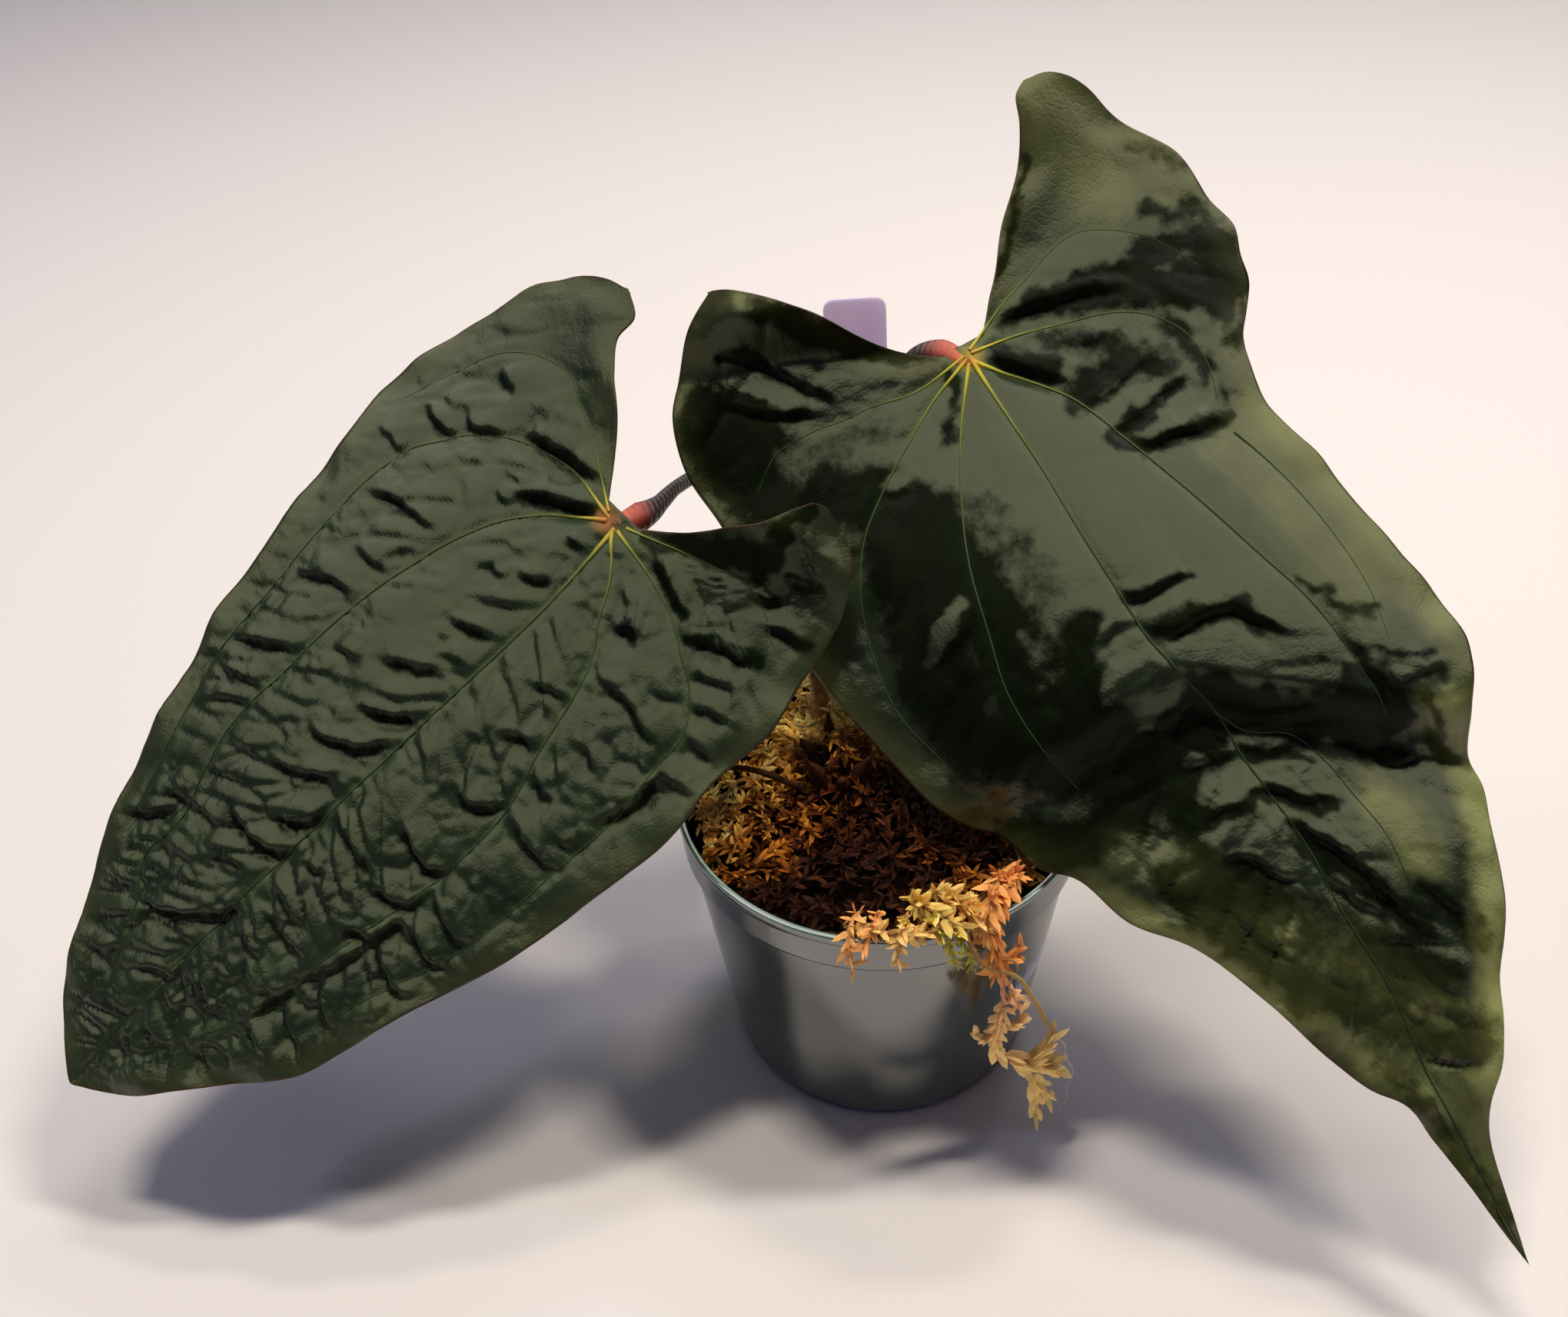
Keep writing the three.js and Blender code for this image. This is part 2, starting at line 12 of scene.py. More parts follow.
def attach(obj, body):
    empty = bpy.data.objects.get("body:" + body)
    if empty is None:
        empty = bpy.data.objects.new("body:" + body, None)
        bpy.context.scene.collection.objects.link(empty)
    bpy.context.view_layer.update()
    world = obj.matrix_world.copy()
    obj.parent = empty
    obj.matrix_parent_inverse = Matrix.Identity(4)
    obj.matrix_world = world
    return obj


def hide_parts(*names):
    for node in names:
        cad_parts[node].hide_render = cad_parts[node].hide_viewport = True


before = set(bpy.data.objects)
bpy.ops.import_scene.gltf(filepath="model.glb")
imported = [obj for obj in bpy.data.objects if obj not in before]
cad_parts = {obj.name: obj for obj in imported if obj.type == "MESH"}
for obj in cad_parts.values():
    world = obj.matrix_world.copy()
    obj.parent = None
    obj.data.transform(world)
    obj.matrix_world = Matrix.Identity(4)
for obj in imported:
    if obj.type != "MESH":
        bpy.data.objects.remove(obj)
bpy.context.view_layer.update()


# --------------------------------------
# Viewpoint: a phone held about 30 cm up and in front of the pot, looking down at 39 degrees.
# --------------------------------------
SENSOR, FOCAL_PIXELS, PHOTO_PIXELS = 36.0, 1750.0, 2040.0
EYE = (-0.021898, -0.240245, 0.321218)
EYE_RIGHT = Vector((0.99820864, -0.03784607, -0.04633778))
EYE_UP = Vector((0.05982904, 0.631437, 0.77311565))


def add_object(name, data):
    """Puts a mesh, curve, lamp or camera in the scene."""
    made = bpy.data.objects.new(name, data)
    bpy.context.scene.collection.objects.link(made)
    return made


lens = bpy.data.cameras.new("viewpoint")
lens.sensor_width = SENSOR
lens.lens = SENSOR * FOCAL_PIXELS / PHOTO_PIXELS
viewpoint = add_object("viewpoint", lens)
viewpoint.matrix_world = Matrix.Translation(EYE) @ Matrix(
    (EYE_RIGHT, EYE_UP, EYE_RIGHT.cross(EYE_UP))).transposed().to_4x4()
bpy.context.scene.camera = viewpoint


# --------------------------------------
# Leaf blades: living leaf, about half a millimetre thick, velvety and very dark green above and
# pale matt green below. The tissue between the veins is puckered into pillows, the main veins run
# in shallow channels, and the larger blade is buckled across its middle.
# --------------------------------------
MM = 0.001
BLADE_THICK = 0.5
SINUS_ROW = -4.0
NOTCH = 6
HALF_COLUMNS = 76


def points(text):
    """A line of points in mm, written as x,y or x,y,z with a space between two points."""
    return [tuple(float(part) for part in word.split(",")) for word in text.split()]


def strokes(text):
    """Lines traced on a blade, split by semicolons: some numbers for each and then its points."""
    made = []
    for row in text.split(";"):
        numbers = [float(word) for word in row.split() if "," not in word]
        made.append((*numbers, points(" ".join(word for word in row.split() if "," in word))))
    return made


# In blade millimetres: u runs from the joint to the tip and v across. A vein starts with its
# strength, a crease with its drop, and a painted-shading or warm stroke with its value and its half width.
# Painted-shading strokes lay painted shade (value near 0) and painted highlight (value near 1) over the
# blade; warm strokes lay an olive tint that is partly the leaf's own colour and partly painted light.
LEFT_BLADE = {
    "joint": (-62.5, 31.3, 145.4),
    "tip": (-200.1, -47.0, 44.6),
    "roll": 28.0,
    "rows": 246,
    "lobe_rows": 54,
    "midrib": points("-4,2.5 25,5.5 58,5.5 91,4.5 122,3 165,0.5 188,0"),
    "minus_inner": points("-44,-36 -40,-30 -34,-30 -28,-25 -21,-17 -10,-8 -4,-3"),
    "minus_outer": points("-44,-37 -43,-43 -40,-50 -35,-56 -30,-61 -21,-64.5 -7,-70 9,-73 18,-73.5 24,-71"
                          " 45,-66 67,-60 81,-57 97,-51.5 118,-45 132,-40 147,-33 161,-25 170,-20 178,-14"
                          " 182.5,-7.5 188,0"),
    "plus_inner": points("-37,40 -36,38 -33,36 -24,32.5 -18,26 -10,16.5 -4,8"),
    "plus_outer": points("-37,41 -35,48 -31,53 -24,57 -16,59 -3,61 7,64 26,63 38,65 54,64 74,61 86,59 107,52"
                         " 129,45.5 138,43 157,29.5 166,22.5 177,14 183,7 188,0"),
    "veins": strokes("""
        1 0,3 25,5.6 58,5.6 91,4.5 122,2.8 165,0.3 186,0; 0.9 0,0 10,-13 20,-20 30,-24 42,-27 54,-29 79,-30
        100,-30 108,-27.5 123,-23 135,-24 146,-16 160,-11; 0.8 -1,0 -3,-16 -1,-27 3,-36 9,-44 16,-49 23,-53 31,-54
        48,-53 69,-50 91,-47 112,-40 135,-32; 0.55 -2,-1 -13,-20 -17,-29 -19,-33 -19,-40 -12,-54 0,-61 14,-66; 0.8
        1,3 10,12 18,17 26,23 37,27 49,30 62,34 75,35 98,32 118,28 135,26 152,18 168,9; 0.75 0,4 3,20 6,29 10,36
        15,44 24,50.5 31,51 43,53 65,52 90,50 112,43 134,35; 0.6 -2,5 -9,25 -12,37 -10,44 -6,50 -5,54"""),
    "creases": strokes("""
        2.2 -8,-51 -7,-46 -7,-42; 2.2 11,-60 12,-55 12,-49 10,-46; 2 5,-49 7,-44 5,-41 2,-36; 3.4 -1,-33 -3,-26
        -4,-18 -5,-13 -6,-8; 1.2 9,-29 8,-25 7,-22; 3.4 11,-22 6,-15 3,-9 -1,-3; 2.4 36,-51 33,-45 32,-39 31,-32
        30,-28; 1.4 24,-65 23,-60 24,-55 20,-53; 1.2 13,-26 14,-23 14,-20; 0.7 15,-40 13,-37 11,-32; 0.7 21,-46
        21,-41; 0.9 49,-52 47,-46; 1.8 47,-41 47,-35 46,-30; 1.3 41,-32 37,-28; 2.6 62,-48 58,-41 56,-36 55,-32;
        0.7 70,-39 68,-33; 2.6 84,-47 80,-41 76,-35 73,-30; 1.2 94,-53 88,-47; 1.6 91,-45 88,-37 86,-31; 1.6
        97,-40 93,-34 91,-30; 1.5 28,-14 27,-10 25,-5; 2.6 23,-5 22,-1 19,2; 2.4 42,-9 41,-4 38,3; 0.7 32,-6 30,1;
        2.3 61,-13 57,-7 55,-3 52,1; 1.3 50,-5 48,0 47,3; 1.4 66,-25 66,-21 65,-17; 2.5 71,-9 69,-3 66,1 63,4; 3.6
        83,-15 83,-10 80,-4 76,1 71,3; 2.8 95,-17 94,-11 90,-4 85,0; 0.8 76,-26 76,-21; 0.8 99,-25 98,-19; 1.8
        120,-31 119,-27 117,-24; 2.4 133,-37 128,-31 121,-26; 1.5 117,-24 116,-17 115,-13; 3.2 110,-16 111,-10
        111,-3 108,3 104,4; 2.4 104,-6 102,-1 99,2 93,3; 2 123,-11 119,-7 117,-1; 3.8 142,-17 140,-10 134,-3 129,2
        123,3; 1 128,-24 128,-19 126,-14; 1 149,-29 145,-24 141,-21; 1.6 160,-20 159,-16 154,-14; 1.2 151,-16
        145,-13; 1.8 155,-8 151,-2 149,2 144,3; 1.2 165,-7 164,-1 158,2; 0.9 144,-7 143,-4 139,1; 1.8 104,8 105,11
        103,14; 2.2 92,6 94,11 95,18 96,23; 2.4 98,23 97,29 95,33 88,35; 2.8 83,18 84,24 86,30 83,34 80,34; 2
        114,7 115,12 116,16 115,19; 2 120,8 121,14 121,20 120,25; 1.8 127,7 129,12 128,17; 2.8 112,27 108,28
        106,33 100,34 97,34; 2.2 126,25 124,27 119,30 113,32 108,33; 2.2 141,24 136,25 131,26 126,27; 2 144,5
        146,10 146,16 144,21; 1.6 132,13 134,17 134,21 130,25; 0.8 139,13 135,16; 1.1 153,3 153,8 150,10; 1.8
        121,30 124,33 127,38 126,41; 1.6 132,27 135,32 137,36; 1 126,29 128,32 126,34; 1.8 142,23 143,28 144,33; 2
        106,33 109,39 110,46 107,49; 2.2 98,35 99,41 100,47 97,49; 2.2 89,36 91,42 92,47 89,50; 1.2 121,43 119,45
        114,46; 1.4 167,1 168,6 169,9; 1.4 162,5 162,10 160,14; 1.3 153,20 151,24 152,28; 1.3 156,15 157,19
        156,23; 1.7 39,17 37,22 36,26; 2.2 52,20 50,25 48,29; 1 57,16 56,19; 0.9 61,23 60,27; 2.6 68,23 69,27
        66,31 62,33; 0.8 68,10 69,14; 2.2 63,36 65,41 66,48 64,53; 1.5 53,33 55,38 54,41; 1.3 41,33 42,39 43,44; 2
        10,-2 9,0; 2.2 -3,13 0,19 2,25 3,29 2,32; 2.2 16,20 16,23 14,27; 2 27,26 27,31 27,37 29,44 29,49; 1.6
        21,38 20,41 17,44; 2.8 8,34 5,38 3,42 2,46 1,51; 1.8 12,41 10,46 7,51; 1.8 17,46 16,50 14,56; 1.8 23,51
        23,56 23,60; 1.4 -11,38 -12,42 -14,44; 2 -19,42 -20,46 -23,51; 2.2 -8,46 -10,51 -10,56; 3 51,51 46,53
        41,54 33,53; 1.2 60,46 60,49 56,51; 1.6 33,53 33,57 31,62; 0.9 9,16 11,20"""),
    # painted shading: strokes of painted shade and painted highlight traced over the blade
    "painted_shading": strokes("""
        0 1.7 -4,10 -7,17 -11,25 -15,33 -20,38; 0 2.2 -8,17 -13,24 -17,31 -21,36; 0 1.9 -15,36 -22,38 -26,39; 0
        1.1 -26,36 -31,38 -35,40; 0 1 0,17 1,23 2,28 3,32; 0 1.3 -9,48 -11,52 -12,56; 0 0.8 -19,43 -21,46 -23,50;
        0 0.7 -12,41 -14,44; 0 1.1 6,35 3,39 1,44 -2,51; 0 0.9 16,21 15,24 15,28; 0 0.7 10,-2 9,1; 0.1 1.5 10,-17
        8,-14 4,-9 0,-4; 0.1 1.3 -3,-26 -4,-19 -5,-12 -5,-8"""),
    "warm": [],
    "downhill": (0.656, 0.755),
    "cross": [9.5, 7.0],
    "fold": [0.85, 1.05],
    "small": [0.38, 0.42],
    "channel": 0.9,
    "edge_wave": 0.9,
    "smooth": [(-29, -42, 22, 0.85)],
}
RIGHT_BLADE = {
    "joint": (26.7, 51.6, 171.6),
    "tip": (131.7, -101.3, 25.7),
    "roll": -30.0,
    "rows": 250,
    "lobe_rows": 56,
    "midrib": points("-4,0 33,-0.5 66,-2 80,-1.5 89,0.5 101,4 123,4.5 148,4.3 171,4.4 205,1.5 236,0"),
    "minus_inner": points("-45,-45 -43,-42 -39,-37.5 -28,-28.5 -17,-19.5 -7,-9 -4,-5"),
    "minus_outer": points("-45,-46 -44,-50 -36,-61.5 -28,-68.5 -15,-73 2,-72 35,-71.5 61,-67.5 79,-63.5"
                          " 87,-61.5 95,-57 100,-52 112,-47 116,-42.5 131,-36.5 141,-28 159,-20 178,-14 187,-10"
                          " 192,-6 203,-4 218,-2.2 236,0"),
    "plus_inner": points("-49,43 -47,40 -41,37.5 -35,34 -23,22 -14,15 -4,3"),
    "plus_outer": points("-49,44 -48.5,48.5 -45.5,53 -41,56.5 -35,59 -26,64.5 -20,68.5 -5.5,70 2.5,71 11,68"
                         " 17,66.5 23,62 28.5,57 36,54 43,52.5 51,53 61,54.5 80,55.5 90,56 99,57.5 106,57.5"
                         " 112,57 117,55 127,49 135,46 143.5,45 151,42 159.5,38.5 177,27.5 195,16.5 201,10.5"
                         " 206,7.5 215,4.5 236,0"),
    "veins": strokes("""
        1 0,0 17.7,-0.3 33,-0.6 49,-1.5 66,-1.9 79.5,-1.6 89,0.5 101,3.9 112,3.8 123,4.5 135,5.1 148,4.3 171,4.4
        191,1.9 205,1.5 234,0.1; 0.9 1,0 22,15 38,20 57,25 74.5,29 87,32 103,33.5 118,33.6; 0.7 -1,1 1,12.6 4,22.5
        8,34.7 13,41.5 20.4,45.8 29.6,46.2 39,43; 0.6 -2,1 -7,12 -10.5,22.7 -13.6,33.5 -13.6,37.3 -10.6,44
        -3.2,52.4 8,58; 0.4 47.5,41.5 55,43.4 69.3,45.5 80,45.8 92,45 104,42; 0.55 99.5,3.5 106.7,7.3 112.4,15.4
        120,18.5 131.5,20 138.8,20.9 155,19; 0.8 1,-1 14.6,-11.2 27.7,-19 44.7,-26.7 59,-30.6 73,-34 84.7,-34.1
        100,-31; 0.75 0,-1 4.4,-12.5 10.8,-23.6 17.5,-34.2 24.8,-43.4 37,-51.5 49.4,-55.6 65,-57.4 80,-54; 0.6
        -1,-1 0.2,-15.3 -2.6,-26.5 -3.3,-32.6 -5,-40.3 -5.4,-51.2 0,-60"""),
    "creases": strokes("""
        2.2 -34,-52 -29,-45 -22,-41 -15,-37 -9,-34; 1.6 -24,-57 -17,-51 -11,-43 -7,-36; 2.4 2,4 8,8 14,13 18,17;
        1.6 25,16 25,22 23,31 22,36; 1.8 34,17 33,25 31,34 30,42; 3.2 40,21 41,29 43,37 43,42; 2.6 -5,8 -4,14
        -2,23 0,31 4,40; 2 68,-3 70,3 70,9 71,13; 2.6 76,-1 80,4 80,11 82,17 87,20 92,24; 1.3 59,-46 58,-37
        53,-31; 1.2 75,-14 73,-7 74,-1; 0.9 86,-18 84,-10 84,-2; 0.8 93,-12 95,-5 92,-1; 1 9,21 12,26 11,32; 1
        3,15 5,20 5,25; 1.4 28,50 27,56 24,61; 0.9 18,-35 20,-31 19,-27; 2.2 118,1 122,7 127,11 128,16; 1.6 125,29
        129,31 131,37; 2.6 126,3 132,7 140,11 150,14 162,16; 1.4 108,-9 109,-3 110,4; 1.8 120,-12 119,-8 120,-2;
        1.8 128,-13 132,-6 138,-3 139,2; 1.5 141,5 148,7 156,11; 1.4 149,19 155,23 161,25 166,29; 1.6 141,-16
        149,-13 155,-10; 0.9 168,12 174,14 179,18; 0.9 174,7 180,12 184,16; 2 124,40 131,41 137,45; 1.2 184,3
        189,7 193,14; 0.8 150,-11 151,-8; 0.8 161,-6 165,-3; 1.4 98,34 104,35 111,35 119,36; 1.2 113,39 114,44
        115,50"""),
    # painted shading: strokes of painted shade and painted highlight traced over the blade
    "painted_shading": strokes("""
        0 9.5 28,-37 42,-40 55,-44 68,-46; 0 8.7 50,-27 66,-28 77,-31 86,-30; 0 7.7 32,-25 45,-28; 0.5 5.5 35,-17
        46,-16 58,-15; 0 10.8 78,-44 88,-34 100,-20 98,-5; 0 5.3 102,-50 111,-37 111,-25; 0.08 6.5 113,-12 130,-14
        145,-7 161,4 171,13; 0.1 7 166,-4 177,4 187,14; 0.12 5.3 128,-25 145,-17 163,-11; 0.3 3.9 184,-5 204,-1
        224,0; 0 8.3 -16,-63 -2,-62 9,-54 12,-45; 0 5.4 -26,-61 -13,-53 4,-48; 0 4.8 15,-39 16,-32 22,-29; 0.5 4.5
        -1,-49 1,-38 4,-29; 0 3.2 -35,-38 -27,-32 -21,-26 -13,-17 -6,-8; 0.55 1.6 -31,-44 -24,-36 -16,-31; 0 1.3
        -32,-52 -27,-44 -18,-38 -10,-33; 0.85 2.6 -26,-51 -21,-45 -14,-38; 0 1.4 -25,-59 -21,-52 -14,-46 -10,-40;
        0 1.9 1,-6 9,-10 15,-15; 1 2.5 17,-24 11,-17 7,-12; 0.8 2.1 17,-31 18,-29; 0 1.3 -33,36 -29,31 -24,26
        -19,21 -14,16; 0 2.9 -4,12 -3,20 -1,28 -1,35 2,42 4,49; 0 4.2 -1,22 0,30 1,36; 0.05 6.5 3,40 7,50 10,58; 0
        4.3 6,43 10,51 16,56 22,56; 0.15 3.2 16,64 23,60 29,55; 0 3.6 -2,50 1,57 3,65 7,66 16,64; 0.15 2.6 -11,55
        -6,60 -6,65 -1,68; 0.5 0.9 5,48 4,54 4,57; 0.5 1.1 -3,59 -3,66; 0.6 1 26,52 25,57 21,61; 0.45 3 -26,59
        -22,64 -16,67; 0.75 7.6 4,14 12,25 19,37 31,40; 0 2.6 2,6 7,10 13,14; 0.05 3.8 22,15 21,22 19,30 25,36;
        0.9 1.4 31,18 29,25 29,32; 0 1.7 34,18 33,25 32,31 33,37; 0.9 1.5 37,23 36,31 35,38; 0 2.3 36,18 41,24
        42,33 43,42; 0.2 2.3 7,18 11,26 14,31; 0.1 2.4 16,44 29,45 37,44; 0.9 1.6 37,41 35,45; 0.1 1.3 67,-2 69,3
        69,9 70,12; 0 2.3 77,0 79,8 80,14 84,19 89,20 93,22; 0.25 1.8 93,21 99,24 102,29 107,31; 0.1 1.2 84,33
        88,35 89,38; 0.1 1.2 91,36 95,38 97,44; 0.1 1.2 98,35 103,36 107,41 111,49; 0.2 1.8 108,37 114,37 117,42
        117,49; 0 4.5 92,1 97,7 105,15 111,25 119,32; 0 3.4 103,4 109,14 116,23 127,33; 0 2.4 107,30 112,34
        119,36; 0 4.6 70,-13 76,-18 92,-20 100,-12 106,-2; 0 1 128,31 130,36; 0 1.4 120,43 127,42 135,44; 1 4.2
        85,4 89,10 94,16 99,20; 1 2 74,-10 73,-5 73,-2; 1 2 85,-15 82,-9 80,-4; 1 2.4 93,-11 90,-7 91,-2; 0.9 2
        96,25 96,30 99,34; 0.9 1.5 57,-45 54,-39 51,-32; 0.5 2 65,-25 74,-25; 0.55 2 73,-38 74,-37; 0.95 5.2
        122,15 132,20 143,23 154,27; 0.75 4.4 135,38 146,35 160,32; 1 2.6 119,5 121,14 126,19; 1 2.3 143,15 150,17
        155,18; 1 1.7 107,-7 108,-5; 1 1.9 114,-6 115,0; 1 3.6 124,-10 126,-2 127,1; 1 2.8 135,-1 137,1; 0.8 1.7
        144,6 149,8 153,10; 0.9 1.7 149,-9 149,-8; 0.42 3.1 146,-2 154,0 160,-3; 0.5 2.1 176,8 181,11; 0.55 2.3
        188,3 196,7 201,7; 0.6 2.8 120,-39 123,-31; 0 2.1 122,5 126,10 130,14; 0 2.6 131,5 139,8 146,12 155,14
        162,17; 0 1.6 112,5 114,10 117,17; 0 1.6 120,-11 121,-4 120,2; 0.1 3.1 156,21 162,25 170,27; 0.35 2.6
        164,2 169,1"""),
    # olive strokes: partly the leaf's own olive colour, partly painted light where the blade should look bright
    "warm": strokes("""
        0.6 9.6 145,-17 163,-2 181,7 202,5; 0.55 5.2 196,3 211,3 228,2; 1.6 3.6 138,45 148,41 160,35 172,28 187,21
        196,13; 1 2.6 165,-13 175,-9 185,-5; 0.8 2.6 121,-39 135,-31 150,-23 167,-14; 0.9 4.4 123,44 130,45
        137,45; 0.6 4.6 46,51 70,52 88,53 104,55; 0.3 8 50,41 74,44 90,46; 0.5 9 -43,45 -34,46 -22,48; 0.3 5
        -24,61 -13,63; 0.6 5.2 134,24 149,25; 0.5 2.1 -45,-48 -41,-40; 0.35 5.3 118,-29 130,-18"""),
    "downhill": (0.844, -0.536),
    "cross": [12.0, 9.0],
    "fold": [0.5, 0.8],
    "small": [0.17, 0.27],
    "channel": 0.7,
    "edge_wave": 1.0,
    "smooth": [(-38, 47, 38, 1.0), (-18, 42, 20, 0.7), (38, -10, 42, 0.75), (62, 25, 38, 0.9),
               (91, 12, 13, 0.9), (95, 40, 30, 0.8), (148, 30, 26, 0.7)],
}


def clamp(value, low=0.0, high=1.0):
    """Keeps a value between low and high."""
    return min(high, max(low, value))


def mix(a, b, t):
    """Goes from a to b as t goes from 0 to 1."""
    return a + (b - a) * t


def ramp(a, b, x):
    """Smooth step from 0 at a to 1 at b."""
    t = clamp((x - a) / (b - a))
    return t * t * (3.0 - 2.0 * t)


def line_through(points, step):
    """Smooth line through the given points, sampled about every step."""
    points = [Vector(p) for p in points]
    gaps = [max(1e-6, (b - a).length) for a, b in zip(points, points[1:])]
    slopes = [(points[1] - points[0]) / gaps[0]]
    for i in range(1, len(points) - 1):
        before = (points[i] - points[i - 1]) / gaps[i - 1]
        after = (points[i + 1] - points[i]) / gaps[i]
        slopes.append((before * gaps[i] + after * gaps[i - 1]) / (gaps[i] + gaps[i - 1]))
    slopes.append((points[-1] - points[-2]) / gaps[-1])
    line = []
    for i, gap in enumerate(gaps):
        count = max(1, math.ceil(gap / step))
        for k in range(count):
            t = k / count
            line.append(points[i] * (1 + 2 * t) * (1 - t) ** 2 + points[i + 1] * t * t * (3 - 2 * t)
                        + slopes[i] * gap * t * (1 - t) ** 2 - slopes[i + 1] * gap * t * t * (1 - t))
    return line + [points[-1]]


def reader(points):
    """Gives v at any u on a smooth edge whose u only grows."""
    line = line_through(points, 0.4)
    places = [p[0] for p in line]
    places = [max(places[:i + 1][-8:]) for i in range(len(places))]

    def read(u):
        i = min(len(line) - 1, max(1, bisect_left(places, u)))
        gap = places[i] - places[i - 1]
        t = clamp((u - places[i - 1]) / gap) if gap > 1e-9 else 0.0
        return mix(line[i - 1][1], line[i][1], t)
    return read


def left_form(u, v):
    """Arched along its length, with both lobes folded up towards the stalk."""
    fold = -2 - 0.28 * v - u
    lift = -2 + 0.35 * v - u
    return (10 * math.sin(math.pi * clamp(u / 188)) - 0.0018 * v * v
            + 13 * ramp(0, 15, fold) * ramp(4, 14, v) * (1 - 0.35 * ramp(34, 46, v))
            + 5 * ramp(0, 32, lift) * ramp(4, 14, -v))


def right_form(u, v):
    """Arched, buckled across its middle, with both lobes lifted."""
    before = 102 + 0.82 * max(v, 0) - u
    buckle = ramp(112, 28, before) * ramp(0, 18, before)
    lobe = -12 - 0.1 * v - u
    fold = -4 + 0.45 * v - u
    return (9 * math.sin(math.pi * clamp(u / 236)) - 0.0016 * v * v
            + 11 * ramp(-75, -25, v) * (1 - 0.15 * ramp(40, 62, v)) * buckle
            + 3.5 * ramp(0, -26, before) * ramp(-60, -20, v)
            + 9 * ramp(0, 34, lobe) * ramp(6, 20, v)
            + 12 * ramp(0, 14, fold) * ramp(4, 14, -v) * (1 - 0.4 * ramp(40, 52, -v)))


def search_tree(places):
    """Finds the nearest of some places on a blade."""
    tree = kdtree.KDTree(len(places))
    for i, p in enumerate(places):
        tree.insert((p[0], p[1], 0), i)
    tree.balance()
    return tree


def reach_of(line, room):
    """Lowest and highest u and v that a stroke can touch."""
    us, vs = zip(*line)
    return min(us) - room, max(us) + room, min(vs) - room, max(vs) + room


def prepare_blade(blade, form):
    joint = Vector(blade["joint"])
    span = Vector(blade["tip"]) - joint
    x = span.normalized()
    up = (Vector((0, 0, 1)) - x * x.z).normalized()
    roll = math.radians(blade["roll"])
    n = up * math.cos(roll) + up.cross(x) * math.sin(roll)
    blade.update(origin=joint, length=span.length, x=x, y=n.cross(x), n=n, form=form)
    edges = []
    for key in ("minus_inner", "minus_outer", "plus_inner", "plus_outer"):
        blade[key + "_at"] = reader(blade[key])
        edges += line_through(blade[key], 0.5)
    blade["midrib_at"] = reader(blade["midrib"])
    ribs = []
    for strength, points in blade["veins"]:
        line = line_through(points, 0.5)
        ribs += [(p, strength * (1 - 0.55 * i / len(line))) for i, p in enumerate(line)]
    blade["folds"] = folds = []
    for k, (drop, points) in enumerate(blade["creases"]):
        line = line_through(points, 0.6)
        chord = line[-1] - line[0]
        sign = 1 if chord.x * blade["downhill"][1] - chord.y * blade["downhill"][0] > 0 else -1
        for i, p in enumerate(line):
            ahead = line[min(i + 1, len(line) - 1)] - line[max(i - 1, 0)]
            side = sign * Vector((-ahead.y, ahead.x)).normalized()
            taper = min(1.0, 1.4 * math.sin(math.pi * (i + 0.7) / (len(line) + 0.4)))
            folds.append((p, k, side, drop * taper))
    blade.update(edge_tree=search_tree(edges), rib_tree=search_tree([p for p, _ in ribs]),
                 fold_tree=search_tree([fold[0] for fold in folds]), rib_strength=[s for _, s in ribs])
    for key in ("painted_shading", "warm"):
        blade[key] = [(level, wide, line, reach_of(line, 1.55 * wide + 1.1)) for level, wide, line in blade[key]]


def drift(u, v, size, layer):
    """Soft noise between -1 and 1, with hills about as wide as size."""
    return noise.noise((u / size, v / size, layer))


def near(blade, u, v):
    """Distance to the margin, distance to the nearest main vein, and that vein's strength."""
    margin = blade["edge_tree"].find((u, v, 0))[2]
    _, index, away = blade["rib_tree"].find((u, v, 0))
    return margin, away, blade["rib_strength"][index]


def creases(blade, u, v):
    """Height from the deep creases, each a swell and then a steep drop, and the painted shade laid on the drop.
    """
    nearest = {}
    for _, i, away in blade["fold_tree"].find_range((u, v, 0), 13.0):
        k = blade["folds"][i][1]
        if k not in nearest or away < nearest[k][0]:
            nearest[k] = (away, i)
    h, painted_shading = 0.0, 0.0
    for away, i in nearest.values():
        p, _, side, drop = blade["folds"][i]
        s = (u - p[0]) * side[0] + (v - p[1]) * side[1]
        past_end = math.sqrt(max(0.0, away * away - s * s))
        half = 0.5 + 0.27 * drop
        s += 0.8 * drift(u, v, 3.3, 40) + 0.4 * drift(u, v, 1.5, 44)
        if s < -half:
            f = 0.42 * math.exp((s + half) / 5.0)
        elif s > half:
            f = -0.58 * math.exp((half - s) / 3.2)
        else:
            f = 0.42 - ramp(-half, half, s)
        fade = ramp(3.5, 0.3, past_end) * ramp(13, 9, away)
        h += drop * f * fade
        # painted shade on the steep drop of each crease, darkening it and tinting out its reflection
        painted_shading = max(painted_shading, 0.85 * clamp(drop / 2.4) * fade * ramp(-half - 0.4, 0.1, s)
                   * ramp(half + 1.8, 0.3 * half, s))
    return h, painted_shading


def segment_distance(u, v, a, b):
    """Distance from a spot on the blade to one straight piece of a stroke."""
    t = clamp(((u - a[0]) * (b[0] - a[0]) + (v - a[1]) * (b[1] - a[1]))
              / max(0.01, (b[0] - a[0]) ** 2 + (b[1] - a[1]) ** 2))
    return math.hypot(u - mix(a[0], b[0], t), v - mix(a[1], b[1], t))


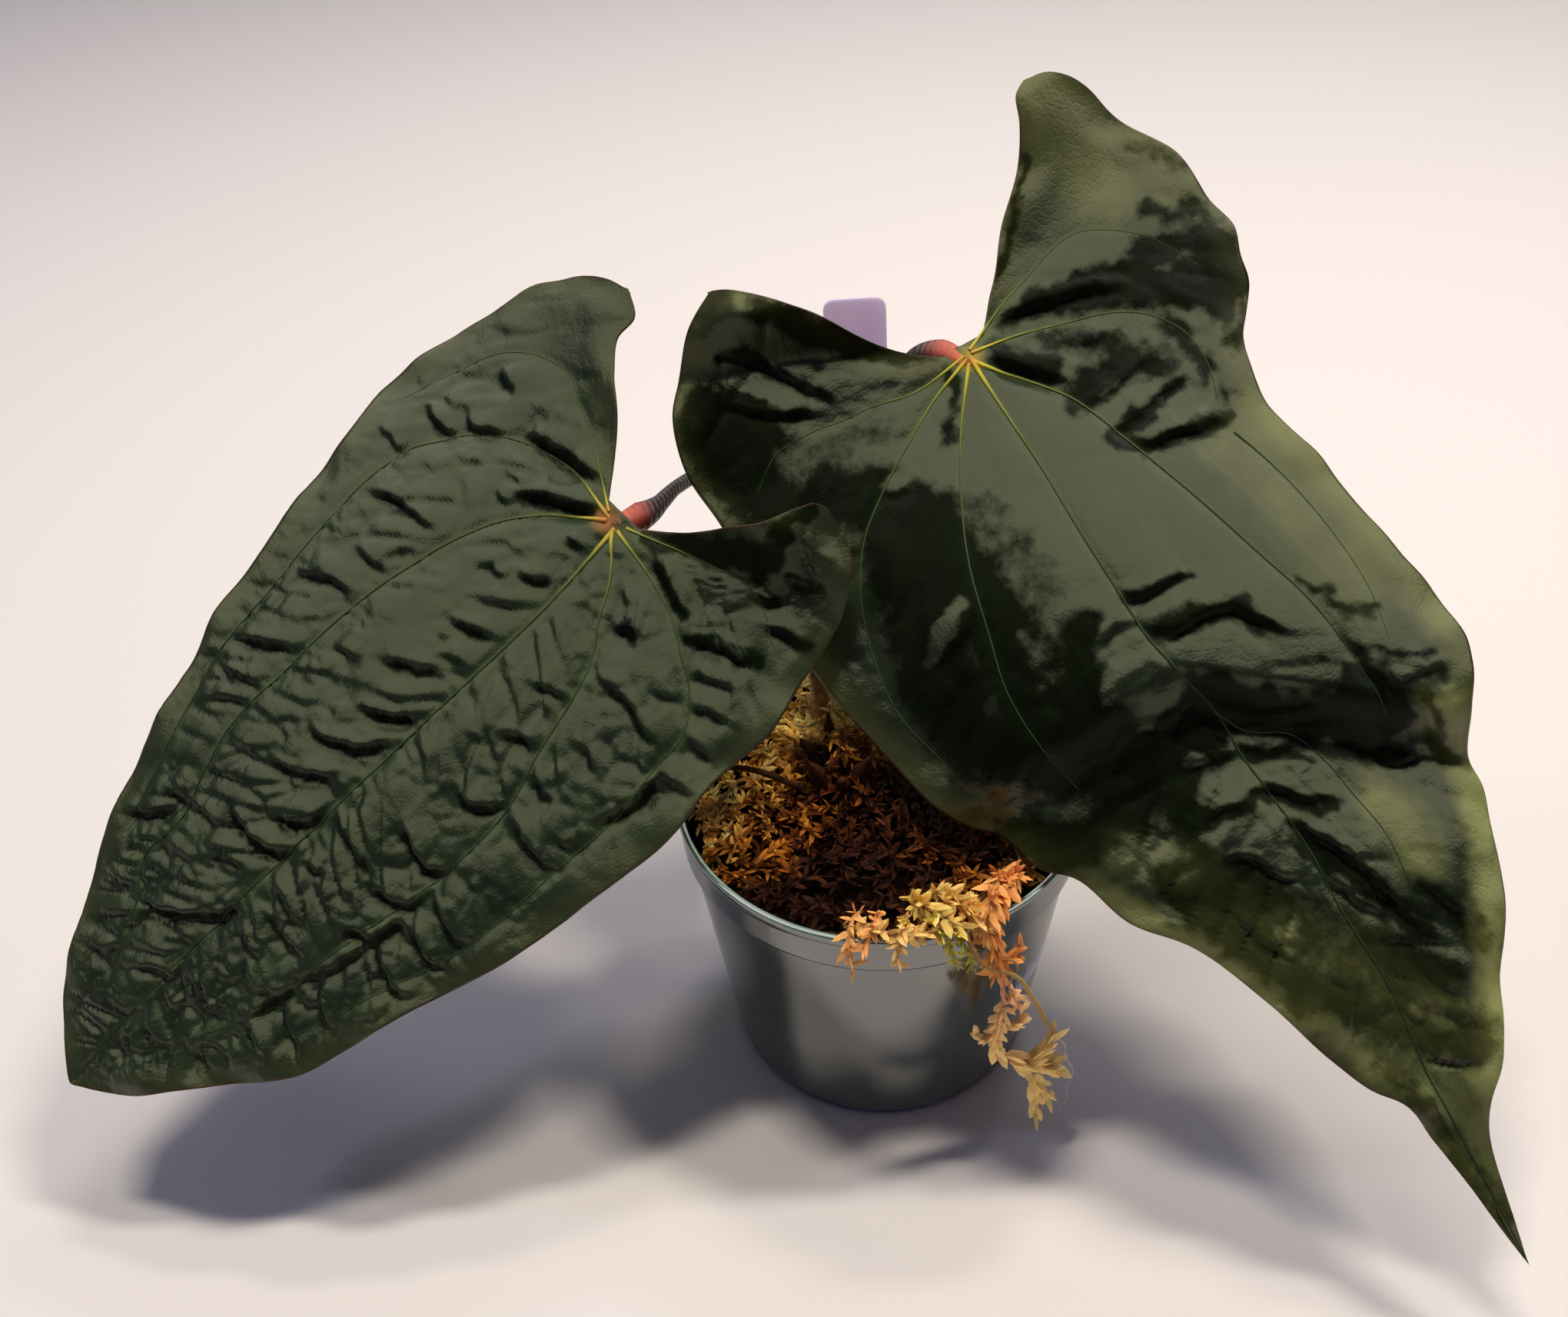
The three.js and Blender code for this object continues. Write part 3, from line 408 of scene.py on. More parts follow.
def brushed(laid, start, u, v):
    """Value laid over the blade by soft strokes with wandering edges."""
    u, v = (u + 2.4 * drift(u, v, 8, 51) + 1.5 * drift(u, v, 2.8, 57),
            v + 2.4 * drift(u, v, 8, 61) + 1.5 * drift(u, v, 2.8, 67))
    value = start
    for level, wide, line, (low_u, high_u, low_v, high_v) in laid:
        if low_u < u < high_u and low_v < v < high_v:
            away = min(segment_distance(u, v, a, b) for a, b in zip(line, line[1:]))
            soft = 1.1 + 0.55 * wide
            value = mix(value, level, ramp(wide + soft, wide - soft, away))
    return value


def relief(blade, u, v):
    """Height of the puckered upper skin over the blade's plane, in millimetres."""
    margin, away, strength = near(blade, u, v)
    inside = ramp(0, 9, margin)
    across = v - blade["midrib_at"](u)
    calm = 1.0
    for cu, cv, size, amount in blade["smooth"]:
        calm *= 1 - amount * ramp(size, 0.35 * size, math.hypot(u - cu, v - cv))
    outward = ramp(30, 150, u)
    pitch = mix(blade["cross"][0], blade["cross"][1], outward)
    sway = drift(u, v, 26, 3.1)
    p = (u - 0.7 * abs(across)) / pitch + 0.55 * sway + (0.43 if across < 0 else 0.0)
    q = across / (1.9 * pitch) + 0.3 * drift(u, v, 18, 8.3)
    reach, centres = noise.voronoi((p, q, 0.5))
    crease = 1 - ramp(0.0, 0.3, reach[1] - reach[0])
    alive = ramp(-0.25, 0.35, noise.noise((u / 17, v / 13, 21.7)))
    pillow = (0.25 + 0.75 * alive) * (0.9 * clamp(p - centres[0][0], -0.5, 0.5) - crease)
    reach, centres = noise.voronoi((u / 4.6 + 0.2 * p, v / 5.4, 4.5))
    slope = (u / 4.6 + 0.2 * p - centres[0][0]) * blade["downhill"][0] \
        + (v / 5.4 - centres[0][1]) * blade["downhill"][1]
    small = 0.8 * slope - (1 - ramp(0.0, 0.35, reach[1] - reach[0]))
    patch = ramp(-0.2, 0.35, drift(u, v, 11, 33.1))
    h = blade["form"](u, v)
    h += calm * inside * mix(*blade["fold"], outward) * pillow * ramp(0, 3, away)
    h += calm * mix(*blade["small"], outward) * patch * small * mix(0.3, 1.0, inside)
    h += creases(blade, u, v)[0] * ramp(0, 3, margin)
    h += 0.8 * strength * ramp(0, 8, away) * inside
    h -= blade["channel"] * strength * math.exp(-(away / 1.3) ** 2)
    h += blade["edge_wave"] * ramp(11, 0, margin) * (math.sin(u / 4.3 + (1.1 if v < 0 else 0))
                                                      * ramp(0, 12, blade["length"] - u)
                                                      + drift(u, v, 9, 13))
    return h


def on_blade(blade, u, v, lift=0.0):
    """Point in millimetres on the upper skin at u and v, lifted off it where asked."""
    return (blade["origin"] + blade["x"] * u + blade["y"] * v
            + blade["n"] * (relief(blade, u, v) + lift))


def mesh_from(bm, name, smooth=False, scale=1.0):
    """Closes a bmesh into a mesh. A scale of MM takes millimetres to metres."""
    bmesh.ops.scale(bm, vec=(scale, scale, scale), verts=bm.verts)
    for face in bm.faces:
        face.smooth = smooth
    mesh = bpy.data.meshes.new(name)
    bm.to_mesh(mesh)
    bm.free()
    return mesh


def blade_mesh(name, blade):
    """Upper skin of a blade, from three grids laid over the main part and the two lobes."""
    bm = bmesh.new()
    bmesh.ops.create_grid(bm, x_segments=2 * HALF_COLUMNS, y_segments=blade["rows"], size=1)
    for vert in bm.verts:
        share = vert.co.x
        t = 0.5 * (vert.co.y + 1)
        u = mix(SINUS_ROW, blade["length"], 1 - (1 - t) ** 1.12)
        side = "minus" if share < 0 else "plus"
        v = mix(blade["midrib_at"](u), blade[side + "_outer_at"](u), abs(share))
        if t > 0.9999:
            u, v = blade["length"], 0.0
        vert.co = (u, v, 0)
    for sign, side in ((-1, "minus"), (1, "plus")):
        made = bmesh.ops.create_grid(bm, x_segments=HALF_COLUMNS - NOTCH, y_segments=blade["lobe_rows"], size=1)
        end, end_v = blade[side + "_inner"][0]
        inner_at, outer_at = blade[side + "_inner_at"], blade[side + "_outer_at"]
        first_v = mix(blade["midrib_at"](SINUS_ROW), outer_at(SINUS_ROW), NOTCH / HALF_COLUMNS)
        shift = first_v - inner_at(SINUS_ROW)
        for vert in made["verts"]:
            share = 0.5 * (vert.co.x + 1)
            t = 0.5 * (vert.co.y + 1)
            u = mix(SINUS_ROW, end, math.sin(0.5 * math.pi * t))
            v = mix(inner_at(u) + shift * ramp(8, 0, SINUS_ROW - u), outer_at(u), share)
            if t > 0.9999:
                u, v = end, end_v + 0.5 * sign
            vert.co = (u, v, 0)
    bmesh.ops.remove_doubles(bm, verts=bm.verts, dist=0.02)
    bmesh.ops.dissolve_degenerate(bm, edges=bm.edges, dist=0.01)
    bmesh.ops.recalc_face_normals(bm, faces=bm.faces)
    if sum(face.normal.z for face in bm.faces) < 0:
        bmesh.ops.reverse_faces(bm, faces=bm.faces)
    felt = {"margin": [], "rib": [], "sheen": [], "warm": []}
    place = bm.loops.layers.uv.new("blade")
    for vert in bm.verts:
        u, v = vert.co.x, vert.co.y
        margin, away, strength = near(blade, u, v)
        felt["margin"].append(margin)
        felt["rib"].append(strength * math.exp(-(away / 1.1) ** 2))
        # painted light and shade: the strokes and the crease drops set where the skin keeps its sheen
        felt["sheen"].append(brushed(blade["painted_shading"], 1.0, u, v) * (1 - creases(blade, u, v)[1]))
        felt["warm"].append(brushed(blade["warm"], 0.0, u, v))
        for loop in vert.link_loops:
            loop[place].uv = (u * MM, v * MM)
        vert.co = on_blade(blade, u, v) * MM
    mesh = mesh_from(bm, name, True)
    for key, values in felt.items():
        mesh.attributes.new(key, "FLOAT", "POINT").data.foreach_set("value", values)
    return mesh


def linear(code):
    """sRGB hex to the linear colour that a shader takes."""
    parts = [int(code[i:i + 2], 16) / 255 for i in (1, 3, 5)]
    return [p / 12.92 if p <= 0.04045 else ((p + 0.055) / 1.055) ** 2.4 for p in parts] + [1.0]


def feed(node, **inputs):
    """Sets inputs by name, or by number after in_, or links them to a node or to one of its sockets."""
    for key, value in inputs.items():
        socket = node.inputs[int(key[3:]) if key.startswith("in_") else key.replace("_", " ")]
        if isinstance(value, bpy.types.Node):
            ready = [out for out in value.outputs if out.enabled]
            value = next((out for out in ready if out.name in ("Object", "Fac", "Value")), ready[0])
        if isinstance(value, bpy.types.NodeSocket):
            node.id_data.links.new(value, socket)
        else:
            socket.default_value = linear(value) if isinstance(value, str) else value


def add_node(tree, kind, stops=(), span=(), **settings):
    """Adds a shader node with its settings and inputs. Stops are a colour ramp's, a span a map range's."""
    made = tree.nodes.new("ShaderNode" + kind)
    if kind == "Mix":
        made.data_type = "RGBA"
    for key in [key for key in settings if key[0].islower() and not key.startswith("in_")]:
        setattr(made, key, settings.pop(key))
    for i, value in enumerate(span):
        made.inputs[i + 1].default_value = value
    for i, (position, colour) in enumerate(stops):
        stop = made.color_ramp.elements[i] if i < 2 else made.color_ramp.elements.new(position)
        stop.position, stop.color = position, linear(colour)
    feed(made, **settings)
    return made


def new_material(name, **finish):
    """Material, what adds a node to it, and its principled shader of the given finish."""
    material = bpy.data.materials.new(name)
    material.use_nodes = True
    tree = material.node_tree
    tree.nodes.clear()
    shader = add_node(tree, "BsdfPrincipled", **finish)
    feed(add_node(tree, "OutputMaterial"), Surface=shader)
    return material, partial(add_node, tree), shader


def upper_skin(name, joint, deep, fresh, rim, gloss, ior, star):
    """Velvet leaf skin: satin where the painted sheen is on, with painted shade (darker colour and tinted-out
    reflection) in traced patches and on the crease drops, and an olive tint that is partly painted light.
    """
    material, add, shader = new_material(name, IOR=ior)
    place = add("UVMap", uv_map="blade")
    margin, rib, warm, patch = (add("Attribute", attribute_name=key)
                                for key in ("margin", "rib", "warm", "sheen"))
    cloud = add("TexNoise", Vector=place, Scale=70.0, Detail=4.0)
    body = add("ValToRGB", Fac=cloud, stops=[(0.3, deep), (0.75, fresh)])
    zone = add("MapRange", Value=margin, span=(9.0, 1.0, 0.0, 0.5), interpolation_type="SMOOTHSTEP")
    edged = add("Mix", Factor=zone, in_6=body, in_7=rim)
    line = add("MapRange", Value=margin, span=(0.9, 0.3, 0.0, 0.8))
    lined = add("Mix", Factor=line, in_6=edged, in_7="#3b2a1c")
    veined = add("Mix", Factor=rib, in_6=lined, in_7="#2c3a1c")
    space = add("TexCoord")
    reach = add("VectorMath", operation="DISTANCE", in_0=space, in_1=Vector(joint) * MM)
    flush = add("MapRange", Value=reach, span=(0.0042, 0.001, 0.0, 0.8))
    flushed = add("Mix", Factor=flush, in_6=veined, in_7=star)
    # olive tint from the warm strokes, partly the leaf's own colour and partly painted light
    olive_share = add("Math", operation="MULTIPLY", in_0=warm, in_1=cloud)
    olive_and_painted_light = add("Mix", Factor=olive_share, in_6=flushed, in_7="#8c9056")
    mottle = add("TexNoise", Vector=place, Scale=230.0, Detail=8.0, Roughness=0.68)
    # the sheen attribute carries the painted light and shade; noise breaks its edges
    painted_sheen_mottled = add("Math", operation="MULTIPLY_ADD", in_0=mottle, in_1=1.3, in_2=patch)
    painted_lit = add("MapRange", Value=painted_sheen_mottled, span=(0.82, 1.46), interpolation_type="SMOOTHSTEP")
    # painted shade: the skin colour darkened wherever the painted sheen is off
    painted_shade_tone = add("Mix", blend_type="MULTIPLY", Factor=1.0, in_6=olive_and_painted_light, in_7="#a4a49c")
    painted_light_and_shade = add("Mix", Factor=painted_lit, in_6=painted_shade_tone, in_7=olive_and_painted_light)
    # painted reflection: the specular tint is near black where the painted sheen is off
    painted_glint = add("Mix", Factor=painted_lit, in_6="#262720", in_7="#f5f7ce")
    grain = add("TexNoise", Vector=place, Scale=1500.0, Detail=2.0)
    net = add("TexVoronoi", Vector=place, feature="DISTANCE_TO_EDGE", Scale=420.0)
    net_line = add("MapRange", Value=net, span=(0.0, 0.16, 0.0, 1.0))
    fine = add("Bump", Height=grain, Strength=0.5, Distance=0.00014)
    coarse = add("Bump", Height=net_line, Normal=fine, Strength=0.12, Distance=0.0002)
    satin = add("MapRange", Value=cloud, span=(0.2, 0.8, *gloss))
    feed(shader, Base_Color=painted_light_and_shade, Specular_Tint=painted_glint, Normal=coarse, Roughness=satin)
    return material


def lower_skin(name):
    """Underside of a leaf: paler, duller green with the veins standing out."""
    material, add, shader = new_material(name, Roughness=0.55)
    place = add("UVMap", uv_map="blade")
    rib = add("Attribute", attribute_name="rib")
    cloud = add("TexNoise", Vector=place, Scale=90.0, Detail=5.0)
    body = add("ValToRGB", Fac=cloud, stops=[(0.3, "#46532f"), (0.75, "#586540")])
    veined = add("Mix", Factor=rib, in_6=body, in_7="#8c8a4e")
    net = add("TexVoronoi", Vector=place, feature="DISTANCE_TO_EDGE", Scale=420.0)
    bump = add("Bump", Height=net, Strength=0.4, Distance=0.0003, invert=True)
    feed(shader, Base_Color=veined, Normal=bump)
    return material


def finish_piece(name, mesh, slot, materials, *nodes):
    """Links a piece, gives it its finish and lets it ride on the plant's one body."""
    piece = add_object(name, mesh)
    for material in materials:
        mesh.materials.append(material)
    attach(piece, "root")
    if nodes:
        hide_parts(*nodes)
    return piece


prepare_blade(LEFT_BLADE, left_form)
prepare_blade(RIGHT_BLADE, right_form)
blade_back = lower_skin("leaf underside, matt")
for side, blade, *looks in (
        ("left", LEFT_BLADE, "#182116", "#25301e", "#3a4124", (0.3, 0.4), 1.47, "#9a5a26"),
        ("right", RIGHT_BLADE, "#182014", "#232c1b", "#4c5026", (0.26, 0.36), 1.56, "#a08c28")):
    skin = upper_skin("leaf " + side + ", velvet skin", blade["joint"], *looks)
    made = finish_piece("blade_" + side, blade_mesh("leaf_" + side + "_blade", blade), "leaf_blade_" + side,
                        [skin, blade_back], "leaf_" + side)
    wall = made.modifiers.new("thickness", "SOLIDIFY")
    wall.thickness = BLADE_THICK * MM
    wall.offset = -1.0
    wall.material_offset = 1
    wall.material_offset_rim = 0


# --------------------------------------
# Main veins: round cords of living tissue that grow in the blade and stand just proud of it,
# bright yellow where they fan out of the joint and fading to the green of the leaf.
# --------------------------------------
# how far from the joint the cords fade to leaf green, in metres, and where their tints sit along it
CORD_REACH, CORD_STOPS = 0.12, (0.0, 0.035, 0.09, 0.22, 0.55, 1.0)


def baked(holder):
    """Takes the evaluated mesh of an object and removes the object."""
    bpy.context.view_layer.update()
    mesh = bpy.data.meshes.new_from_object(holder.evaluated_get(bpy.context.evaluated_depsgraph_get()))
    bpy.data.objects.remove(holder)
    return mesh


def tube_mesh(name, lines, sides=8):
    """One mesh of round tubes. Each line is a list of (point in mm, radius in mm)."""
    curve = bpy.data.curves.new(name, "CURVE")
    curve.dimensions = "3D"
    curve.bevel_depth = MM
    curve.bevel_resolution = max(0, sides // 2 - 2)
    curve.use_fill_caps = True
    for line in lines:
        spline = curve.splines.new("POLY")
        spline.points.add(len(line) - 1)
        for point, (place, radius) in zip(spline.points, line):
            point.co = (*(Vector(place) * MM), 1)
            point.radius = radius
    mesh = baked(add_object(name, curve))
    mesh.name = name
    for polygon in mesh.polygons:
        polygon.use_smooth = True
    return mesh


def vein_cord(name, joint, tints):
    """Vein tissue: waxy, yellow at the joint, then olive, then leaf green."""
    material, add, shader = new_material(name, Roughness=0.55, Specular_IOR_Level=0.3)
    space = add("TexCoord")
    reach = add("VectorMath", operation="DISTANCE", in_0=space, in_1=Vector(joint) * MM)
    share = add("MapRange", Value=reach, span=(0.0, CORD_REACH))
    tint = add("ValToRGB", Fac=share, stops=list(zip(CORD_STOPS, tints)))
    grain = add("TexNoise", Vector=space, Scale=900.0)
    bump = add("Bump", Height=grain, Strength=0.3, Distance=0.0001)
    feed(shader, Base_Color=tint, Normal=bump)
    return material


for side, blade, tints in (
        ("left", LEFT_BLADE, ("#c8763a", "#b8a83c", "#626a2e", "#374226", "#28331f", "#222c1c")),
        ("right", RIGHT_BLADE, ("#c8763a", "#cdbf32", "#84842e", "#4c532a", "#2f3a22", "#242e1c"))):
    cords = []
    for strength, line in blade["veins"]:
        line = line_through(line, 1.6)
        cord = []
        for i, p in enumerate(line):
            thick = strength * (0.15 + 0.2 * (1 - i / len(line)) + 0.4 * math.exp(-i / 5))
            cord.append((on_blade(blade, p[0], p[1], 0.3 * thick), thick))
        cords.append(cord)
    finish_piece("veins_" + side, tube_mesh("veins_" + side, cords), "leaf_blade_" + side,
                 [vein_cord("vein cord, " + side, blade["joint"], tints)])


# --------------------------------------
# Leaf stalks: round fleshy stems that rise from the moss and arch over to each blade, dark and
# faintly ringed, ending in a swollen coral-red joint that turns the blade to the light.
# --------------------------------------
STALKS = {
    "left": (points("-11,13,72 -12,15,84 -15,30,104 -27,55,124 -40,60,138"
                    " -46,49,142.5 -52.5,37.5,143 -60,31.5,143"),
             [2.6, 2.6, 2.5, 2.4, 2.3, 2.2, 2.1, 2.1, 2.0, 2.0, 1.9, 1.9, 1.8, 1.8, 1.8, 1.8, 2.2, 3.6, 2.6]),
    "right": (points("0,13,72 0.5,15,84 2,30,104 5,48,132 10,59,158 15.5,59,169 21,56,170.5 25.5,52.3,169.5"),
              [2.8, 2.8, 2.7, 2.6, 2.5, 2.4, 2.3, 2.2, 2.2, 2.1, 2.1, 2.0, 2.0, 2.0, 2.0, 2.1, 2.8, 3.8, 2.6]),
}
# in metres: the reach of the joint's red, and the heights where the husk starts and is full
JOINT_REACH, HUSK_TOP, HUSK_FULL = 0.05, 0.118, 0.096
RING_RATE = 4200.0


def with_radii(path, radii, step):
    """Smooth line of (point, radius), the radii spread evenly along it."""
    line = line_through(path, step)
    last = len(line) - 1
    sized = []
    for i, p in enumerate(line):
        place = i / last * (len(radii) - 1)
        k = min(len(radii) - 2, int(place))
        sized.append((p, mix(radii[k], radii[k + 1], place - k)))
    return sized


def stalk_skin(name, joint):
    """Fleshy stalk: purple-brown and satin, coral red and waxy at the swollen joint, dry husk at its foot."""
    material, add, shader = new_material(name, Roughness=0.4, Subsurface_Weight=0.1, Subsurface_Scale=0.002)
    space = add("TexCoord")
    reach = add("VectorMath", operation="DISTANCE", in_0=space, in_1=Vector(joint) * MM)
    share = add("MapRange", Value=reach, span=(0.0, JOINT_REACH))
    tint = add("ValToRGB", Fac=share, stops=[(0.03, "#d08a3c"), (0.07, "#d86c4a"), (0.16, "#b9503e"),
                                                        (0.21, "#7a3c34"), (0.25, "#3b2c28"), (1.0, "#3a3631")])
    speck = add("TexNoise", Vector=space, Scale=600.0, Detail=3.0)
    tone = add("Mix", blend_type="MULTIPLY", Factor=speck, in_6=tint, in_7="#c8beb6")
    turns = add("Math", operation="MULTIPLY", in_0=reach, in_1=RING_RATE)
    ring = add("Math", operation="SINE", in_0=turns)
    band = add("MapRange", Value=ring, span=(0.2, 0.8, 0.0, 0.8))
    ringed = add("Mix", blend_type="MULTIPLY", Factor=band, in_6=tone, in_7="#4c4644")
    away = add("MapRange", Value=share, span=(0.24, 0.3))
    toned = add("Mix", Factor=away, in_6=tone, in_7=ringed)
    level = add("SeparateXYZ", in_0=space)
    foot = add("MapRange", Value=level.outputs["Z"], span=(HUSK_TOP, HUSK_FULL))
    husk = add("ValToRGB", Fac=speck, stops=[(0.35, "#7c5020"), (0.65, "#cc9440")])
    footed = add("Mix", Factor=foot, in_6=toned, in_7=husk)
    bump = add("Bump", Height=ring, Strength=0.35, Distance=0.0002)
    feed(shader, Base_Color=footed, Normal=bump)
    return material


for side, blade in (("left", LEFT_BLADE), ("right", RIGHT_BLADE)):
    stalk = with_radii(*STALKS[side], 0.9)
    finish_piece("stalk_" + side, tube_mesh("stalk_" + side, [stalk], 20), "leaf_stalk",
                 [stalk_skin("leaf stalk, " + side, blade["joint"])], "petiole_" + side)


# --------------------------------------
# Pot: thin injection-moulded polypropylene, dark green and glossy, with a stepped rim band, a
# rolled lip and six drain holes in the floor. The moss fills it to just under the lip.
# --------------------------------------
RIM_RADIUS, BASE_RADIUS, POT_HEIGHT = 51.0, 40.8, 84.0
BAND_BOTTOM, WALL_AT_BAND, WALL, POT_FLOOR = 73.0, 48.6, 1.3, 2.0
DRAIN_HOLES, DRAIN_RADIUS, DRAIN_CIRCLE = 6, 4.5, 27
TURN_STEPS, LIP_GREEN, LIP_PALE = 144, 0.0828, 0.0836
# (radius, height): out over the floor to the foot, up the wall to the band, over the lip, and down inside
FOOT = [(0, 0), (36, 0), (BASE_RADIUS - 2.2, 0), (BASE_RADIUS - 0.7, 0.4), (BASE_RADIUS, 1.8),
        (BASE_RADIUS + 0.2, 3.2), (BASE_RADIUS + 4, 35)]
BAND = [(WALL_AT_BAND + r, BAND_BOTTOM + z) for r, z in ((0.3, -1.4), (0.4, -0.5), (0.7, -0.2))] + \
       [(RIM_RADIUS + r, BAND_BOTTOM + z) for r, z in ((-0.9, 0), (-0.62, 0.3), (-0.57, 0.9))]
LIP = [(RIM_RADIUS + r, POT_HEIGHT + z) for r, z in (
    (-0.35, -3.4), (-0.3, -2.6), (0, -2.0), (0, -0.5), (-0.4, 0), (-1.3, 0), (-1.7, -0.5), (-1.9, -2))]
INSIDE = [(WALL_AT_BAND - 0.2, BAND_BOTTOM + 1.5), (WALL_AT_BAND - WALL, BAND_BOTTOM - 1),
          (BASE_RADIUS - WALL, POT_FLOOR + 1), (BASE_RADIUS - WALL - 1, POT_FLOOR), (30, POT_FLOOR),
          (0, POT_FLOOR)]


def turned(profile, steps):
    """Spins a profile of (radius, height) round the pot's axis."""
    bm = bmesh.new()
    corners = [bm.verts.new((r, 0, z)) for r, z in profile]
    lines = [bm.edges.new(pair) for pair in zip(corners, corners[1:])]
    bmesh.ops.spin(bm, geom=corners + lines, cent=(0, 0, 0), axis=(0, 0, 1), angle=2 * math.pi, steps=steps,
                   use_merge=True, use_duplicate=False)
    bmesh.ops.remove_doubles(bm, verts=bm.verts, dist=0.001)
    bmesh.ops.recalc_face_normals(bm, faces=bm.faces)
    return bm


blank = add_object("pot_blank", mesh_from(turned(FOOT + BAND + LIP + INSIDE, TURN_STEPS), "pot_wall", True, MM))
bm = bmesh.new()
for i in range(DRAIN_HOLES):
    turn = 2 * math.pi * (i + 0.5) / DRAIN_HOLES
    centre = (DRAIN_CIRCLE * math.cos(turn), DRAIN_CIRCLE * math.sin(turn), 1)
    bmesh.ops.create_cone(bm, cap_ends=True, segments=28, radius1=DRAIN_RADIUS, radius2=DRAIN_RADIUS, depth=12,
                          matrix=Matrix.Translation(centre))
drill = add_object("drain_drill", mesh_from(bm, "drain_drill", True, MM))
cut = blank.modifiers.new("drain", "BOOLEAN")
cut.object = drill
cut.solver = "EXACT"
pot_mesh = baked(blank)
bpy.data.objects.remove(drill)

plastic, add, shader = new_material("polypropylene, moulded dark green", IOR=1.9, Specular_IOR_Level=1.0)
space = add("TexCoord")
height = add("SeparateXYZ", in_0=space)
lip = add("MapRange", Value=height.outputs["Z"], span=(LIP_GREEN, LIP_PALE))
cloud = add("TexNoise", Vector=space, Scale=30.0, Detail=3.0)
body = add("ValToRGB", Fac=cloud, stops=[(0.3, "#1b2a24"), (0.8, "#24352d")])
edge = add("Mix", Factor=lip, in_6=body, in_7="#587263")
dust = add("TexVoronoi", Vector=space, Scale=60.0)
dot = add("MapRange", Value=dust, span=(0.03, 0.022, 0.0, 0.8))
dusty = add("Mix", Factor=dot, in_6=edge, in_7="#a9aca0")
haze = add("TexNoise", Vector=space, Scale=180.0, Detail=4.0)
gloss = add("MapRange", Value=haze, span=(0.2, 0.8, 0.1, 0.18))
ripple = add("Bump", Height=haze, Strength=0.12, Distance=0.0002)
feed(shader, Base_Color=dusty, Roughness=gloss, Normal=ripple)
finish_piece("pot_wall", pot_mesh, "pot_plastic", [plastic], "pot")


# --------------------------------------
# Sticker: thin lilac vinyl film with a matt face, pressed round the wall below the rim band, right
# of the front.
# --------------------------------------
STICKER_TURN, STICKER_WIDTH, STICKER_LOW, STICKER_HIGH = math.radians(-24), 36.0, 35.0, 56.0
STICKER_LIFT, STICKER_THICK = 0.3, 0.25


def clouded(name, scale, detail, low, high, bump_strength=0.0, bump_depth=0.0, **finish):
    """Material of one colour that drifts between two close tones, with a grain where it has one."""
    material, add, shader = new_material(name, **finish)
    cloud = add("TexNoise", Vector=add("TexCoord"), Scale=scale, Detail=detail)
    feed(shader, Base_Color=add("ValToRGB", Fac=cloud, stops=[low, high]))
    if bump_strength:
        feed(shader, Normal=add("Bump", Height=cloud, Strength=bump_strength, Distance=bump_depth))
    return material


bm = bmesh.new()
bmesh.ops.create_grid(bm, x_segments=24, y_segments=8, size=0.5)
for vert in bm.verts:
    z = mix(STICKER_LOW, STICKER_HIGH, vert.co.y + 0.5)
    radius = mix(BASE_RADIUS, WALL_AT_BAND, (z - 1.5) / (BAND_BOTTOM - 2.5)) + STICKER_LIFT
    turn = STICKER_TURN + STICKER_WIDTH / radius * vert.co.x
    vert.co = (radius * math.cos(turn), radius * math.sin(turn), z)
bmesh.ops.solidify(bm, geom=bm.faces[:], thickness=-STICKER_THICK)
bmesh.ops.recalc_face_normals(bm, faces=bm.faces)
film = clouded("sticker film, lilac", 120.0, 4.0, (0.3, "#ccc8f0"), (0.75, "#dad6f8"), Roughness=0.38)
finish_piece("sticker", mesh_from(bm, "sticker", True, MM), "label_film", [film], "pot_label")


# --------------------------------------
# Moss: long-fibred dried sphagnum, packed in the pot. Each strand is a soft stem wrapped in small
# overlapping pointed leaves, golden on top, rust brown further down, yellow-green where it is alive.
# The golden patches are partly painted light, and the front hollow and the spot before the crown are
# darkened as painted shade.
# --------------------------------------
# strands spread over the bed and piled at the crown, the reach of the bed, and how many are whole strands
BED_STRANDS, CROWN_STRANDS, BED_REACH, STRAND_SHARE = 500, 90, 46.0, 0.78
GOLDEN_ANGLE, LEAF_TURN, FINE_STEP, CORE_DEPTH, WALL_TAPER = 2.39996, 2.4, 0.8, 3.0, 0.06


def mound(x, y, middle_x, middle_y, wide, deep):
    """Soft hill, 1 at its middle."""
    return math.exp(-(((x - middle_x) / wide) ** 2 + ((y - middle_y) / deep) ** 2))


def bed_height(x, y):
    """Top of the moss: mounded in the middle, hollow at the front left."""
    reach = math.hypot(x, y - 3) / 47.0
    return (79.5 + 9.0 * math.cos(0.5 * math.pi * min(1.0, reach)) - 5.5 * mound(x, y, -16, -37, 24, 12)
            + 2.0 * drift(x, y, 8, 1.7))


def moss_leaf(name, length, width, thick, bend):
    """One boat-shaped leaf lying along +X from its root, with 12 faces."""
    bm = bmesh.new()
    bmesh.ops.create_uvsphere(bm, u_segments=4, v_segments=3, radius=1)
    bmesh.ops.rotate(bm, verts=bm.verts, matrix=Matrix.Rotation(math.radians(90), 3, "Y"))
    tip = bm.verts.layers.float.new("tip")
    for vert in bm.verts:
        t = 0.5 * (vert.co.x + 1)
        vert[tip] = t
        spread = 1.0 if t < 0.6 else 0.75
        vert.co = (length * (t - 0.1 * math.sin(math.pi * t)), width * 0.58 * spread * vert.co.y,
                   thick * 0.58 * vert.co.z + bend * length * t * t + 0.6 * bend * abs(vert.co.y) * width)
    return mesh_from(bm, name)


